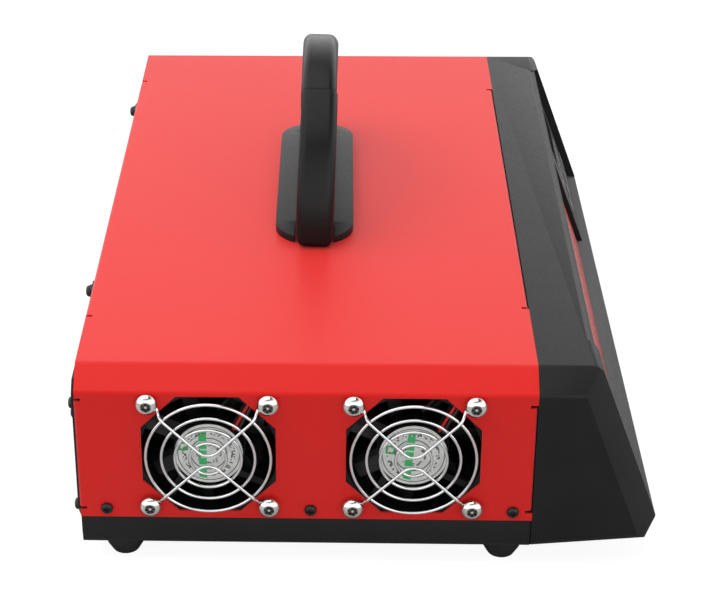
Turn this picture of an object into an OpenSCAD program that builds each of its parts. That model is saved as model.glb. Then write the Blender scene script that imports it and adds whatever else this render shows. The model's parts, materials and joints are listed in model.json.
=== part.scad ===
// Workshop battery charger: a folded sheet cover over a shallow tray, a raked moulded front,
// two cooling fans in one side, an arched carrying handle, and the power parts inside.
// x runs across the case, the front faces -y and the feet stand on z = 0.

/* [Case] */
// Width across the two side faces
case_w = 367; // [360:1:400]
// Depth of the cover from its rear edge to the front moulding
case_d = 190.5; // [189:0.5:220]
// Height of the side faces up to the sloping shoulder
side_h = 61; // [60.6:0.2:75]
// Height that the sloping shoulder adds
shoulder_h = 8.6; // [6:0.2:14]
// Width that the sloping shoulder takes off each side
shoulder_w = 10.3; // [8:0.1:12]
// Thickness of the cover sheet
sheet_t = 1; // [0.8:0.1:1.2]
// Outer radius of the bends in the cover
bend_r = 2.5; // [2.2:0.1:3.5]
// Depth of the base tray below the cover
tray_drop = 14.8; // [13:0.1:18]
// Thickness of the base tray
tray_t = 1.2; // [0.9:0.1:1.6]
// Height of the tray's sides inside the cover
tray_lip = 9; // [8:0.5:12]
// Thickness of the rear panel
rear_t = 0.8; // [0.7:0.1:1.2]

/* [Feet] */
// Height of a foot
foot_h = 9.9; // [8:0.1:16]
// Diameter of a foot
foot_dia = 16.6; // [15.6:0.2:18]
// Inset of a foot from the side face
foot_in = 13.3; // [12:0.1:18]
// Distance of the rear feet from the rear edge, and of the front feet from the front seam
foot_ends = [17, 11.2]; // [10:0.1:24]

/* [Front moulding] */
// Depth from the rear edge to the fold where the fascia meets the shelf
fold_d = 236; // [234:0.5:268]
// Lean of the fascia from upright, in degrees
rake = 20.7; // [17:0.1:22]
// Depth of the fascia below the moulding's rim
recess = 6.4; // [5.6:0.1:7.2]
// Fall of the shelf in front of the fascia, in degrees
shelf_fall = 23.6; // [20:0.1:27]
// Height of the recess's flat top over the cover's lower edge
hood_h = 63; // [62:0.1:64]
// Wall of the moulding
wall = 2.5; // [2:0.1:2.8]
// Width of a wing beside the recess, from the side face to the recess
wing_w = 12.5; // [12:0.1:16]
// Thickness of the fascia sheet
fascia_t = 1.2; // [0.8:0.1:1.5]
// Height of the control panel over the fascia
panel_rise = 2.6; // [2:0.1:3]
// Left edge of the control panel, from the case's mid-plane
panel_x = 84; // [80:0.5:90]

/* [Handle] */
// Outer radius of the arched handle
handle_r = 71; // [64:0.1:76]
// Thickness of the handle's section, from inside to outside of the arch
handle_t = 20; // [16:0.5:24]
// Width of the handle's section, from front to rear
handle_w = 17.1; // [14:0.1:22]
// Corner radius of the handle's section
handle_edge = 4.3; // [4:0.1:6.5]
// Straight length of the legs below the arch
handle_leg = 1.5; // [1:0.5:8]
// Angle from upright to the seam between grip and leg
handle_seam = 29; // [20:1:40]
// Distance of the handle from the rear edge
handle_d = 97; // [85:0.5:110]
// Offset of the handle from the case's mid-plane, away from the fans
handle_x = 2.3; // [-5:0.1:5]
// Lean of the handle toward the front, in degrees
handle_lean = 2.2; // [0:0.1:3]
// Length, width and thickness of the plate under the handle
handle_plate_size = [133, 36, 4.9]; // [4.5:0.1:140]
// Thickness of the plate at its two ends
plate_end_t = 3.2; // [2:0.1:4]

/* [Fans] */
// Size of a fan's square frame
fan_w = 60; // [58:0.5:60]
// Depth of a fan
fan_t = 25; // [24:0.5:30]
// Spacing of a fan's screw holes
fan_pitch = 50; // [49:0.5:51]
// Distances of the fans from the rear edge
fan_d = [54.9, 140]; // [48:0.1:142]
// Height of the fans' centres over the cover's lower edge
fan_h = 31.35; // [30.8:0.05:31.5]
// Width across the flats of the air opening in the cover
opening_w = 56; // [52:0.5:57]
// Length of the cut at each corner of the air opening
opening_cut = 15; // [14:0.5:17]
// Number of blades on a fan wheel
blades = 7; // [5:1:9]
// Wire diameter of the finger guards
wire = 1.4; // [1.2:0.1:1.6]
// Centre-line diameters of a guard's rings
guard_rings = [15, 27.8, 39, 52]; // [12:0.1:53]
// Height of the rings' centre-line over the cover
ring_rise = 3; // [2.6:0.1:3.6]

/* [Rear fittings] */
// Height of the rear fittings over the cover's lower edge
rear_h = 31; // [29:0.5:33]
// Places across of the output sockets, the power switch, the mains inlet and the fuse
rear_x = [-80, -40, 62, 105, 148]; // [-90:1:150]
// How far an output socket stands out of the rear panel
socket_rise = 6; // [6:0.5:9]
// Bore of the output contacts
contact_bore = 8.6; // [8:0.1:9]
// Angle between the two positions of the power switch
rocker_swing = 18; // [14:1:20]

/* [Controls] */
// Number of push buttons
buttons = 4; // [2:1:4]
// Spacing of the push buttons
button_pitch = 19; // [17:0.5:20]
// Travel of a push button
button_travel = 1; // [0.6:0.1:1.2]
// Width and height of the display window
window_size = [56, 22]; // [16:1:60]
// Number of indicator lamps
lamps = 6; // [4:1:7]

/* [Hidden] */
$fn = 64;
arc_steps = 6;

// Levels over the floor
half_w = case_w / 2;
z_tray = foot_h;
z_cover = z_tray + tray_drop;
z_bend = z_cover + side_h;
z_top = z_bend + shoulder_h;
z_fan = z_cover + fan_h;
z_rear = z_cover + rear_h;

// Folds and gaps of the sheet parts
tray_edge_r = 7;
tray_in = sheet_t;
rear_wall_h = 0.6;
tray_front_gap = 0.2;
tray_end_h = 3;
flange_reach = 10;
rear_flange_out = 0.3;
front_flange_in = 0.3;
rear_face = rear_flange_out + rear_t;
slot_w = 1.5;
slot_deep = 3.1;
side_flange_low = 5;
rear_side_flange = 56.6;
front_side_flange = 55;
rear_top_flange = 133;
front_top_flange = 123;

// Small screws
m3 = 3;
m3_head = [5.1, 1.8];
m3_clear = 0.1;
side_screw_h = 4.4;
side_screw_d = [11.3, 97.3, 182.3];
m4 = 4;
m4_head = [9.2, 2.9];
m4_clear = 0.2;
m4_nut = [8.1, 3.2];

// Front moulding
rim_r = 4.5;
shelf_rate = tan(shelf_fall);
nose_drop = 13.6;
nose_back = 4.6;
nose_r = 12;
nose_lift = 1.1;
bevel_w = 10.3;
bevel_d = 9.3;

// Fan parts, with heights measured inward from the cover's outer face
fan_flange = 4;
fan_bore = 57.4;
fan_tube = 59.4;
fan_chamfer = 1.6;
hub_dia = 29.1;
hub_h = 6.75;
label_t = 0.25;
strut_w = 3;
strut_in = 3.2;
strut_foot = [9, 8];
strut_head = [17.5, 24.5];
lead_dia = 1.4;
tip_gap = 0.8;
wheel_gap = 0.6;
wheel_hub = 30;
wheel_wall = 1.5;
shaft_dia = 3;
shaft_gap = 0.03;
bearing_dia = 7;
fan_gap = 0.4;
weld_gap = 0.05;
cross_rise = ring_rise + wire + weld_gap;
guard_out = cross_rise + wire / 2;
eyelet_r = (m4 + wire) / 2 + 0.2;

// Inner parts
board_t = 1.6;
standoff_h = 8;
z_floor = z_tray + tray_t;
z_board = z_floor + standoff_h + board_t;
board_x = [-174, 158];
board_y = [14, 178];
heatsink_size = [108, 42, 58];
fin_t = 1.6;
fins = 8;

// The part stands with the middle of its bounding box over the origin
lip_d = fold_d + foot_reach(recess);
mid_x = (m3_head[1] - guard_out) / 2;
mid_y = (rear_face + socket_rise - lip_d) / 2;
module placed() translate([-mid_x, -mid_y, 0]) children();

// Extrude an outline in (y, z) across the case, and one in (x, z) from y0 toward the front
module across(x0, len) translate([x0, 0, 0]) rotate([90, 0, 90]) linear_extrude(len) children();
module deep(y0, len) translate([0, y0, 0]) rotate([90, 0, 0]) linear_extrude(len) children();

// Local frames with +z pointing out of the left side, the right side and the rear
module at_left(d, z) translate([-half_w, -d, z]) rotate([90, 0, -90]) children();
module at_right(d, z) translate([half_w, -d, z]) rotate([90, 0, 90]) children();
module at_rear(x, z) translate([x, rear_face, z]) rotate([90, 0, 180]) children();
module at_fan(i) at_left(fan_d[i], z_fan) children();

// Local frame of the fascia: x across, y up the slope from the fold, z out of the face
module on_fascia(h = 0) translate([0, -fold_d, z_cover]) rotate([90 - rake, 0, 0]) translate([0, 0, h]) children();

// Outline helpers: rounded corners and an outline moved inward by t, both for closed outlines
function unit(v) = v / norm(v);
function inward(a, b) = let (u = unit(b - a)) [-u[1], u[0]];
function inset(pts, t) = let (n = len(pts)) [for (i = [0:n - 1])
    let (p = inward(pts[(i + n - 1) % n], pts[i]), q = inward(pts[i], pts[(i + 1) % n]))
    pts[i] + t * (p + q) / (1 + p * q)];
function corner(a, b, c, r) = let (u = unit(a - b), w = unit(c - b), half = acos(u * w) / 2,
    mid = b + unit(u + w) * r / sin(half), s = b + u * r / tan(half) - mid,
    e = b + w * r / tan(half) - mid, from = atan2(s[1], s[0]),
    turn = (atan2(e[1], e[0]) - from + 540) % 360 - 180)
    [for (i = [0:arc_steps]) mid + r * [cos(from + turn * i / arc_steps), sin(from + turn * i / arc_steps)]];
function rounded(pts, radii) = let (n = len(pts)) [for (i = [0:n - 1])
    each radii[i] > 0 ? corner(pts[(i + n - 1) % n], pts[i], pts[(i + 1) % n], radii[i]) : [pts[i]]];

// Rectangle of size s, centred, with true round corners
module round_rect(s, r) {
    square([s[0] - 2 * r, s[1]], center = true);
    square([s[0], s[1] - 2 * r], center = true);
    for (x = [-1, 1], y = [-1, 1]) translate([x * (s[0] / 2 - r), y * (s[1] / 2 - r)]) circle(r);
}

// A round bar between two points
module bar(p, q, dia) let (v = q - p) translate(p)
    rotate([0, acos(v[2] / norm(v)), atan2(v[1], v[0])]) cylinder(d = dia, h = norm(v), $fn = 24);

// A bar along a list of points, with slightly swollen round joints
joint_swell = 1.04;
module run(pts, dia) {
    for (i = [0:len(pts) - 2]) bar(pts[i], pts[i + 1], dia);
    for (i = [1:len(pts) - 2]) translate(pts[i]) sphere(d = dia * joint_swell, $fn = 24);
}

// Pan-head screw with its head on z = 0 and its shank below
module pan_screw(dia, head, len) difference() {
    rotate_extrude($fn = 32) polygon(concat([[0, -len], [dia / 2, -len], [dia / 2, 0], [head[0] / 2, 0]],
        [for (a = [0:15:75]) [head[0] / 2 * (0.4 + 0.6 * cos(a)), head[1] * (0.3 + 0.7 * sin(a))]],
        [[0, head[1]]]));
    translate([0, 0, head[1] / 2]) for (a = [0, 90]) rotate(a)
        translate([-0.28 * head[0], -0.06 * head[0], 0]) cube([0.56 * head[0], 0.12 * head[0], head[1]]);
}

// Button-head screw with a six-sided socket
module socket_screw(dia, head, len) difference() {
    rotate_extrude($fn = 48) polygon(concat([[0, -len], [dia / 2, -len], [dia / 2, 0], [head[0] / 2, 0]],
        [for (a = [0:15:75]) [head[0] / 2 * (0.35 + 0.65 * cos(a)), head[1] * (0.25 + 0.75 * sin(a))]],
        [[0, head[1]]]));
    translate([0, 0, head[1] / 2]) cylinder(d = 0.46 * head[0], h = head[1], $fn = 6);
}

// Cross-section of the case, from z = low to the roof, moved inward by t
function case_outline(low, t, r) = rounded(inset([[half_w, low], [half_w, z_bend],
    [half_w - shoulder_w, z_top], [shoulder_w - half_w, z_top], [-half_w, z_bend], [-half_w, low]], t),
    [0, r - t, r - t, r - t, r - t, 0]);

// Section of a folded flange: along the sheet from its bend, and inward from the outer face
fold_len = 4;
flange_bend = 1.3 * sheet_t;
flange_section = rounded([[0, 0], [fold_len, 0], [fold_len, sheet_t], [sheet_t, sheet_t],
    [sheet_t, flange_reach], [0, flange_reach]], [flange_bend, 0, 0, flange_bend - sheet_t, 0, 0]);

// One flange set: a strip on each side and one on the roof, folded inward at y = face
module flanges(face, dir, top_half, side_top) {
    for (side = [-1, 1]) translate([0, 0, z_cover + side_flange_low])
        linear_extrude(side_top - side_flange_low)
        polygon([for (p = flange_section) [side * (half_w - p[1]), face - dir * p[0]]]);
    across(-top_half, 2 * top_half) polygon([for (p = flange_section) [face - dir * p[0], z_top - p[1]]]);
}

// The rear side flanges reach past their bends to take the corner screws
module screw_ears() for (side = [-1, 1])
    translate([side * (half_w - flange_reach / 2 - 1.2) - flange_reach / 2 + 1.2,
        rear_flange_out - sheet_t, z_cover + 0.8])
    cube([flange_reach - 2.4, sheet_t, rear_side_flange]);

// Room cut out of the plain sheet where a flange set takes over, with the relief slots beside it
module flange_room(face, dir, top_half, side_top) {
    trim = 3 * sheet_t;
    y0 = face - dir * 2 * sheet_t;
    for (side = [-1, 1]) translate([side * half_w - trim / 2, min(y0, y0 + dir * 9), z_cover + side_flange_low])
        cube([trim, 9, side_top - side_flange_low]);
    translate([-top_half, min(y0, y0 + dir * 9), z_top - trim / 2]) cube([2 * top_half, 9, trim]);
}
module relief_slots(y0, top_half, side_top) {
    for (side = [-1, 1], z = [side_flange_low - slot_w, side_top])
        translate([side * half_w - 3, y0, z_cover + z]) cube([6, slot_deep, slot_w]);
    for (side = [-1, 1]) translate([side * (top_half + slot_w / 2) - slot_w / 2, y0, z_top - 3])
        cube([slot_w, slot_deep, 6]);
}

module air_opening() {
    h = opening_w / 2;
    c = h - opening_cut;
    polygon([[h, -c], [h, c], [c, h], [-c, h], [-h, c], [-h, -c], [-c, -h], [c, -h]]);
}

// Slots that let the air in on the right side, a slot being vent[0] wide and vent[1] tall
vent = [3, 20];
vent_pitch = [7.5, 26];
vent_grid = [18, 2];
module vent_slots() for (i = [0:vent_grid[0] - 1], j = [0:vent_grid[1] - 1])
    translate([(i - (vent_grid[0] - 1) / 2) * vent_pitch[0], (j - (vent_grid[1] - 1) / 2) * vent_pitch[1]])
    round_rect(vent, vent[0] / 2 - 0.01);

module cover() color([0.80, 0.14, 0.13]) difference() {
    union() {
        difference() {
            deep(0, case_d) polygon(case_outline(z_cover, 0, bend_r));
            deep(1, case_d + 2) polygon(case_outline(z_cover - 5, sheet_t, bend_r));
            flange_room(rear_flange_out, 1, rear_top_flange, rear_side_flange);
            flange_room(front_flange_in - case_d, -1, front_top_flange, front_side_flange);
        }
        flanges(rear_flange_out, 1, rear_top_flange, rear_side_flange);
        screw_ears();
        flanges(front_flange_in - case_d, -1, front_top_flange, front_side_flange);
    }
    relief_slots(rear_flange_out - slot_deep, rear_top_flange, rear_side_flange);
    relief_slots(-case_d, front_top_flange, front_side_flange);
    for (i = [0, 1]) at_fan(i) translate([0, 0, -2 * sheet_t]) {
        linear_extrude(4 * sheet_t) air_opening();
        for (x = [-1, 1], y = [-1, 1]) translate([x, y] * fan_pitch / 2)
            cylinder(r = m4 / 2 + m4_clear, h = 4 * sheet_t);
    }
    at_right(case_d / 2, z_fan) translate([0, 0, -2 * sheet_t]) linear_extrude(4 * sheet_t) vent_slots();
    for (d = side_screw_d) {
        at_left(d, z_cover + side_screw_h) translate([0, 0, -2]) cylinder(r = m3 / 2 + m3_clear, h = 4);
        at_right(d, z_cover + side_screw_h) translate([0, 0, -2]) cylinder(r = m3 / 2 + m3_clear, h = 4);
    }
    for (p = rear_screw_spots) translate([p[0], 2, z_cover + p[1]]) rotate([90, 0, 0])
        cylinder(r = m3 / 2 + m3_clear, h = 4);
    for (x = [-1, 1]) translate([handle_x + x * handle_mid_r, -handle_d, z_top - 3])
        cylinder(r = m5 / 2 + m4_clear, h = 6);
}

// The base: a shallow folded tray with round lower edges
tray_half = half_w - tray_in;
module tray_slab(top, t, y0, len) deep(y0, len) polygon(rounded(inset([[-tray_half, z_tray],
    [tray_half, z_tray], [tray_half, top], [-tray_half, top]], t), [tray_edge_r - t, tray_edge_r - t, 0, 0]));
module base_tray() color([0.12, 0.12, 0.12]) difference() {
    union() {
        difference() {
            tray_slab(z_cover + tray_lip, 0, 0, case_d - tray_front_gap);
            tray_slab(z_cover + tray_lip + 5, tray_t, 1, case_d + 2);
        }
        tray_slab(z_cover + rear_wall_h, 0, 0, tray_t);
        tray_slab(z_cover + tray_end_h, 0, tray_front_gap + tray_t - case_d, tray_t);
    }
    for (side = [-1, 1]) {
        translate([side * tray_half - 3, -case_d, z_cover + tray_end_h])
            cube([6, front_flange_in + sheet_t + fan_gap, tray_lip]);
        translate([side * tray_half - 3, rear_flange_out - sheet_t - fan_gap, z_cover + rear_wall_h])
            cube([6, 3, tray_lip]);
    }
    for (d = side_screw_d, side = [-1, 1]) translate([side * tray_half - 3, -d, z_cover + side_screw_h])
        rotate([0, 90, 0]) cylinder(d = m3, h = 6);
    for (d = fan_d) translate([-half_w, -d - fan_w / 2 - fan_gap, z_fan - fan_w / 2 - fan_gap])
        cube([3 * sheet_t + tray_t, fan_w + 2 * fan_gap, fan_w]);
    for (p = foot_spots) translate([p[0], p[1], z_tray - 1]) cylinder(d = m4, h = 4);
    for (p = standoff_spots) translate([p[0], p[1], z_tray - 1]) cylinder(d = m3, h = 4);
    for (x = boss_x) translate([x, -case_d - 1, z_cover + boss_h]) rotate([-90, 0, 0])
        cylinder(r = m3 / 2 + m3_clear, h = 4);
}

// Rear panel, cut back at the corners inside the cover's outline
rear_side_in = 0.8;
rear_top_in = 5.1;
rear_cut = 11;
rear_low = -9;
rear_top_screw = 102.4;
rear_side_screws = [3.5, 53.5];
rear_screw_in = 4.5;
rear_tab = 9;
rear_screw_spots = [for (x = [-1, 1], z = rear_side_screws) [x * (half_w - rear_screw_in), z],
    for (x = [-1, 1]) [x * rear_top_screw, side_h + shoulder_h - 4.6]];
module rear_panel() color([0.10, 0.10, 0.10]) difference() {
    deep(rear_face, rear_t) {
        polygon([
            [half_w - rear_side_in, z_bend - rear_side_in],
            [half_w - rear_top_in, z_top - rear_top_in],
            [rear_top_in - half_w, z_top - rear_top_in],
            [rear_side_in - half_w, z_bend - rear_side_in],
            [rear_side_in - half_w, z_cover + side_flange_low - slot_w],
            [rear_cut - half_w, z_cover + rear_low],
            [half_w - rear_cut, z_cover + rear_low],
            [half_w - rear_side_in, z_cover + side_flange_low - slot_w]]);
        for (x = [-1, 1]) translate([x * rear_top_screw - rear_tab / 2, z_top - 2 * rear_top_in])
            square([rear_tab, 2 * rear_top_in - 1.8]);
    }
    for (p = rear_screw_spots) translate([p[0], 3, z_cover + p[1]]) rotate([90, 0, 0])
        cylinder(r = m3 / 2 + m3_clear, h = 6);
    for (i = [0, 1]) at_rear(rear_x[i], z_rear) translate([0, 0, -5]) cylinder(d = socket_neck, h = 10);
    at_rear(rear_x[2], z_rear) translate([0, 0, -5]) linear_extrude(10) square(switch_body, center = true);
    at_rear(rear_x[3], z_rear) translate([0, 0, -5]) linear_extrude(10) {
        square(inlet_body, center = true);
        for (x = [-1, 1]) translate([x * inlet_pitch / 2, 0]) circle(m3 / 2 + m3_clear);
    }
    at_rear(rear_x[4], z_rear) translate([0, 0, -5]) cylinder(d = fuse_neck, h = 10);
    translate([earth_spot[0], 3, z_cover + earth_spot[1]]) rotate([90, 0, 0]) cylinder(d = m3, h = 6);
}

// Where a plane n in front of the fascia meets the shelf, ahead of the fold, and the two ends of
// that plane in (y, z): its foot on the shelf and its head under the hood
function foot_reach(n) = n / cos(rake) / (1 - tan(rake) * shelf_rate);
function foot(n) = [-(fold_d + foot_reach(n)), z_cover - shelf_rate * foot_reach(n)];
function head(n) = [-(fold_d - tan(rake) * hood_h + n / cos(rake)), z_cover + hood_h];
function slab(n0, n1) = [foot(n0), foot(n1), head(n1), head(n0)];

// Front view of the recess: its upper corners slope down to the wings
recess_half = half_w - wing_w;
recess_slope = [17.5, 4.5];
recess_view = rounded([[-recess_half, z_tray - 20], [recess_half, z_tray - 20],
    [recess_half, z_cover + hood_h - recess_slope[1]], [recess_half - recess_slope[0], z_cover + hood_h + 0.01],
    [recess_slope[0] - recess_half, z_cover + hood_h + 0.01],
    [-recess_half, z_cover + hood_h - recess_slope[1]]], [0, 0, 3, 10, 10, 3]);
module in_recess(x0, len, n0, n1) intersection() {
    across(x0, len) polygon(slab(n0, n1));
    deep(0, 2 * fold_d) polygon(recess_view);
}

// Rim point at height z over the floor, as a distance from the rear edge
function rim_d(z) = fold_d + recess / cos(rake) - tan(rake) * (z - z_cover);

// Cuts away all beyond a plane through a point, the plane facing along v
module cut_beyond(point, v) translate(point) rotate([0, acos(v[2] / norm(v)), atan2(v[1], v[0])])
    translate([-100, -100, 0]) cube([200, 200, 100]);

// Side profile of the moulding
nose_z = z_cover - nose_drop;
nose_d = lip_d - nose_back;
side_profile = rounded([[-case_d, z_tray], [-nose_d, nose_z], foot(recess), [-rim_d(z_top), z_top],
    [-case_d, z_top]], [0, 2, 0.6, rim_r, 0]);

// Lower outline of the moulding, rising from z0 at the seam to z1 at the nose, moved inward by t
module underside(z0, z1, r, t) translate([0, -case_d, z0 + t])
    rotate([-atan((z1 - z0) / (nose_d - case_d)), 0, 0]) deep(10, fold_d)
    polygon(rounded([[t - half_w, 0], [half_w - t, 0], [half_w - t, 120], [t - half_w, 120]], [r - t, r - t, 0, 0]));
module undersides(t) intersection() {
    underside(z_tray, nose_z, tray_edge_r, t);
    underside(z_tray - (nose_r - tray_edge_r) * (sqrt(2) - 1), nose_z + nose_lift, nose_r, t);
}

module moulding_body() intersection() {
    across(-half_w, case_w) polygon(side_profile);
    deep(-case_d, fold_d) polygon(case_outline(z_tray - 10, 0, bend_r));
    undersides(0);
}

// Inner space, open at the back
module moulding_space() intersection() {
    across(-half_w, case_w) polygon([[1 - case_d, z_tray + wall], [-(nose_d - wall), nose_z + wall],
        foot(-fascia_t - wall) + [0, -wall], head(-fascia_t - wall) + [0.4 * wall, z_top - wall - z_cover - hood_h],
        [1 - case_d, z_top - wall]]);
    deep(1 - case_d, fold_d) polygon(case_outline(z_tray - 10, wall, bend_r + wall));
    undersides(wall);
}

// Bosses that take the screws from the tray's front wall
boss_x = [-150, -50, 50, 150];
boss_h = -2;
boss_dia = 8;
boss_len = 20;
module moulding_bosses() for (x = boss_x) translate([x, tray_front_gap - case_d, z_cover + boss_h]) {
    rotate([90, 0, 0]) cylinder(d = boss_dia, h = boss_len);
    translate([-1, -boss_len, -tray_drop - boss_h + wall]) cube([2, boss_len - 1, tray_drop + boss_h - wall]);
}

// Posts that carry the control board behind the control panel
panel_end = recess_half;
panel_mid = (panel_x + panel_end) / 2;
board_front = -7.8;
post_spots = [for (x = [-1, 1], s = [8, 58]) [panel_mid + x * 43.5, s]];
post_bore = 2.2;
module moulding_posts() for (p = post_spots) on_fascia(board_front) translate(p)
    cylinder(d = 6, h = -board_front - fascia_t - 1);
panel_window = [72, 54];
window_s = 33;

module front_moulding() color([0.16, 0.16, 0.16]) difference() {
    union() {
        difference() {
            moulding_body();
            moulding_space();
        }
        moulding_bosses();
        moulding_posts();
    }
    in_recess(-recess_half, 2 * recess_half, -fascia_t, 30);
    for (side = [-1, 1]) cut_beyond([side * half_w, bevel_d - rim_d(z_cover), z_cover],
        [side * bevel_d, -bevel_w, -bevel_w * tan(rake)]);
    for (p = post_spots) on_fascia(board_front - 1) translate(p) cylinder(d = post_bore, h = 5);
    on_fascia(-wall - fascia_t - 1) linear_extrude(wall + fascia_t + 2) translate([panel_mid, window_s])
        square(panel_window, center = true);
    for (x = boss_x) translate([x, 1 - case_d, z_cover + boss_h]) rotate([90, 0, 0]) cylinder(d = m3, h = 14);
}

module fascia() color([0.78, 0.16, 0.14]) in_recess(-recess_half, recess_half + panel_x, -fascia_t, 0);

// Places on the control panel, measured up the slope from the fold
button_s = 13;
lamp_s = 26;
display_s = 45;
button_size = [11, 8];
button_clear = 0.3;
lamp_dia = 3;
lamp_pitch = 10.5;
function button_x(i) = panel_mid + (i - (buttons - 1) / 2) * button_pitch;
function lamp_x(i) = panel_mid + (i - (lamps - 1) / 2) * lamp_pitch;
module control_panel() color([0.13, 0.13, 0.13]) difference() {
    in_recess(panel_x, panel_end - panel_x, -fascia_t, panel_rise);
    on_fascia(-5) linear_extrude(12) {
        for (i = [0:buttons - 1]) translate([button_x(i), button_s])
            round_rect(button_size + [2, 2] * button_clear, 2 + button_clear);
        for (i = [0:lamps - 1]) translate([lamp_x(i), lamp_s]) circle(d = lamp_dia, $fn = 24);
        translate([panel_mid, display_s]) round_rect(window_size, 1.5);
    }
}

module display_window() color([0.08, 0.10, 0.12]) on_fascia(-fascia_t)
    linear_extrude(fascia_t + panel_rise - 0.15) translate([panel_mid, display_s]) round_rect(window_size, 1.5);

module display_module() color([0.25, 0.30, 0.28]) on_fascia(board_front)
    translate([panel_mid, display_s]) linear_extrude(-board_front - fascia_t)
    square(window_size + [5, 5], center = true);

module indicator_lamps() color([0.75, 0.80, 0.75]) on_fascia(board_front)
    for (i = [0:lamps - 1]) translate([lamp_x(i), lamp_s])
    cylinder(d = lamp_dia, h = panel_rise - board_front + 0.2, $fn = 24);

// A push button: cap, retaining flange behind the panel, and a stem over its switch
button_rise = 0.4;
module push_button(i) color([0.35, 0.35, 0.36]) on_fascia() translate([button_x(i), button_s]) {
    translate([0, 0, -fascia_t - button_clear - 0.1]) linear_extrude(fascia_t + panel_rise + button_rise + button_clear + 0.1)
        round_rect(button_size, 2);
    translate([0, 0, -fascia_t - button_clear - 1.5]) linear_extrude(1.5)
        round_rect(button_size + [2.4, 2.4], 2);
    translate([0, 0, button_stem]) cylinder(d = 4, h = -button_stem - fascia_t - button_clear - 1);
}
button_stem = -5;

board_size = [97, 59];
module control_board() color([0.10, 0.35, 0.18]) {
    on_fascia(board_front - board_t) difference() {
        translate([panel_mid, window_s - 0.5]) linear_extrude(board_t) square(board_size, center = true);
        for (p = post_spots) translate([p[0], p[1], -1]) cylinder(d = m3, h = 4);
    }
    for (i = [0:buttons - 1]) on_fascia(board_front) translate([button_x(i), button_s]) {
        linear_extrude(1.3) square(6, center = true);
        cylinder(d = 3.4, h = button_stem - button_travel - 0.05 - board_front);
    }
}

module board_screws() color([0.6, 0.6, 0.6]) for (p = post_spots) on_fascia(board_front - board_t)
    translate(p) mirror([0, 0, 1]) pan_screw(post_bore, [4.4, 1.6], board_t + 2.8);

// Handle: an arch of rounded section in three pieces on a plate, the legs a little wider
handle_mid_r = handle_r - handle_t / 2;
leg_step = 0.5;
m5 = 5;
module handle_section(w) round_rect([handle_t, w], handle_edge);
module leaned() translate([handle_x, -handle_d, z_top]) rotate([handle_lean, 0, 0]) children();
module arch(from, to, w) translate([0, 0, handle_leg]) rotate([90, 0, 0])
    rotate_extrude(angle = to - from, start = from) translate([handle_mid_r, 0]) handle_section(w);

module handle_grip() color([0.22, 0.22, 0.22]) leaned() arch(90 - handle_seam, 90 + handle_seam, handle_w);

module leg_body(side) difference() {
    leaned() {
        if (side > 0) arch(0, 90 - handle_seam, handle_w + 2 * leg_step);
        if (side < 0) arch(90 + handle_seam, 180, handle_w + 2 * leg_step);
        translate([side * handle_mid_r, 0, -2]) linear_extrude(handle_leg + 2)
            handle_section(handle_w + 2 * leg_step);
    }
    translate([-handle_w * 6, -handle_d - handle_w, z_top - 10]) cube([handle_w * 12, 2 * handle_w, 10]);
}
module handle_leg(side) color([0.18, 0.18, 0.18]) difference() {
    leg_body(side);
    translate([handle_x + side * handle_mid_r, -handle_d, z_top - 1]) cylinder(d = m5, h = 19);
}

plate_flat = 69;
plate_r = 17;
module handle_plate() color([0.20, 0.20, 0.20]) difference() {
    translate([handle_x, -handle_d, 0]) intersection() {
        translate([0, 0, z_top]) linear_extrude(handle_plate_size[2])
            round_rect([handle_plate_size[0], handle_plate_size[1]], plate_r);
        let (h = handle_plate_size[0] / 2, f = plate_flat / 2, top = z_top + handle_plate_size[2])
            deep(handle_w + 5, 2 * handle_w + 10) polygon([[-h, z_top], [h, z_top], [h, z_top + plate_end_t],
                [f, top], [-f, top], [-h, z_top + plate_end_t]]);
    }
    for (side = [-1, 1]) leg_body(side);
}

module handle_screws() color([0.7, 0.7, 0.7]) for (x = [-1, 1])
    translate([handle_x + x * handle_mid_r, -handle_d, z_top - sheet_t]) mirror([0, 0, 1])
    pan_screw(m5, [10, 3.4], sheet_t + 17);

// Fan frame: two square flanges on a tube, the motor cup on four slanting struts, the bearing tube
module fan_frame(i) color([0.11, 0.11, 0.11]) at_fan(i) translate([0, 0, -sheet_t - fan_t]) {
    difference() {
        union() {
            for (z = [0, fan_t - fan_flange]) translate([0, 0, z]) linear_extrude(fan_flange) round_rect([fan_w, fan_w], 3);
            cylinder(d = fan_tube, h = fan_t);
        }
        translate([0, 0, -1]) cylinder(d = fan_bore, h = fan_t + 2);
        for (x = [-1, 1], y = [-1, 1]) translate([x * fan_pitch / 2, y * fan_pitch / 2, -1])
            cylinder(r = m4 / 2 + m4_clear, h = fan_t + 2);
        for (a = [0, 90, 180, 270]) rotate(a) translate([fan_w / 2, 0, fan_t]) rotate([0, 45, 0])
            cube([fan_chamfer * sqrt(2), 2 * fan_w, fan_chamfer * sqrt(2)], center = true);
        translate([18.7, 24.5, fan_t - fan_flange - 1]) linear_extrude(fan_flange + 2) square(5.8, center = true);
    }
    intersection() {
        translate([0, 0, fan_t - hub_h]) for (a = [0, 90, 180, 270]) rotate(a)
            linear_extrude(hub_h - strut_in) let (v = strut_head - strut_foot) translate(strut_foot)
            rotate(atan2(v[1], v[0])) translate([0, -strut_w / 2]) square([norm(v) + 4, strut_w]);
        cylinder(d = (fan_bore + fan_tube) / 2, h = fan_t);
    }
    difference() {
        union() {
            translate([0, 0, fan_t - hub_h]) cylinder(d = hub_dia, h = hub_h - label_t);
            translate([0, 0, 3.8]) cylinder(d = bearing_dia, h = fan_t - hub_h - 3);
        }
        translate([0, 0, 3]) cylinder(r = shaft_dia / 2 + shaft_gap, h = 15);
    }
}

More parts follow.
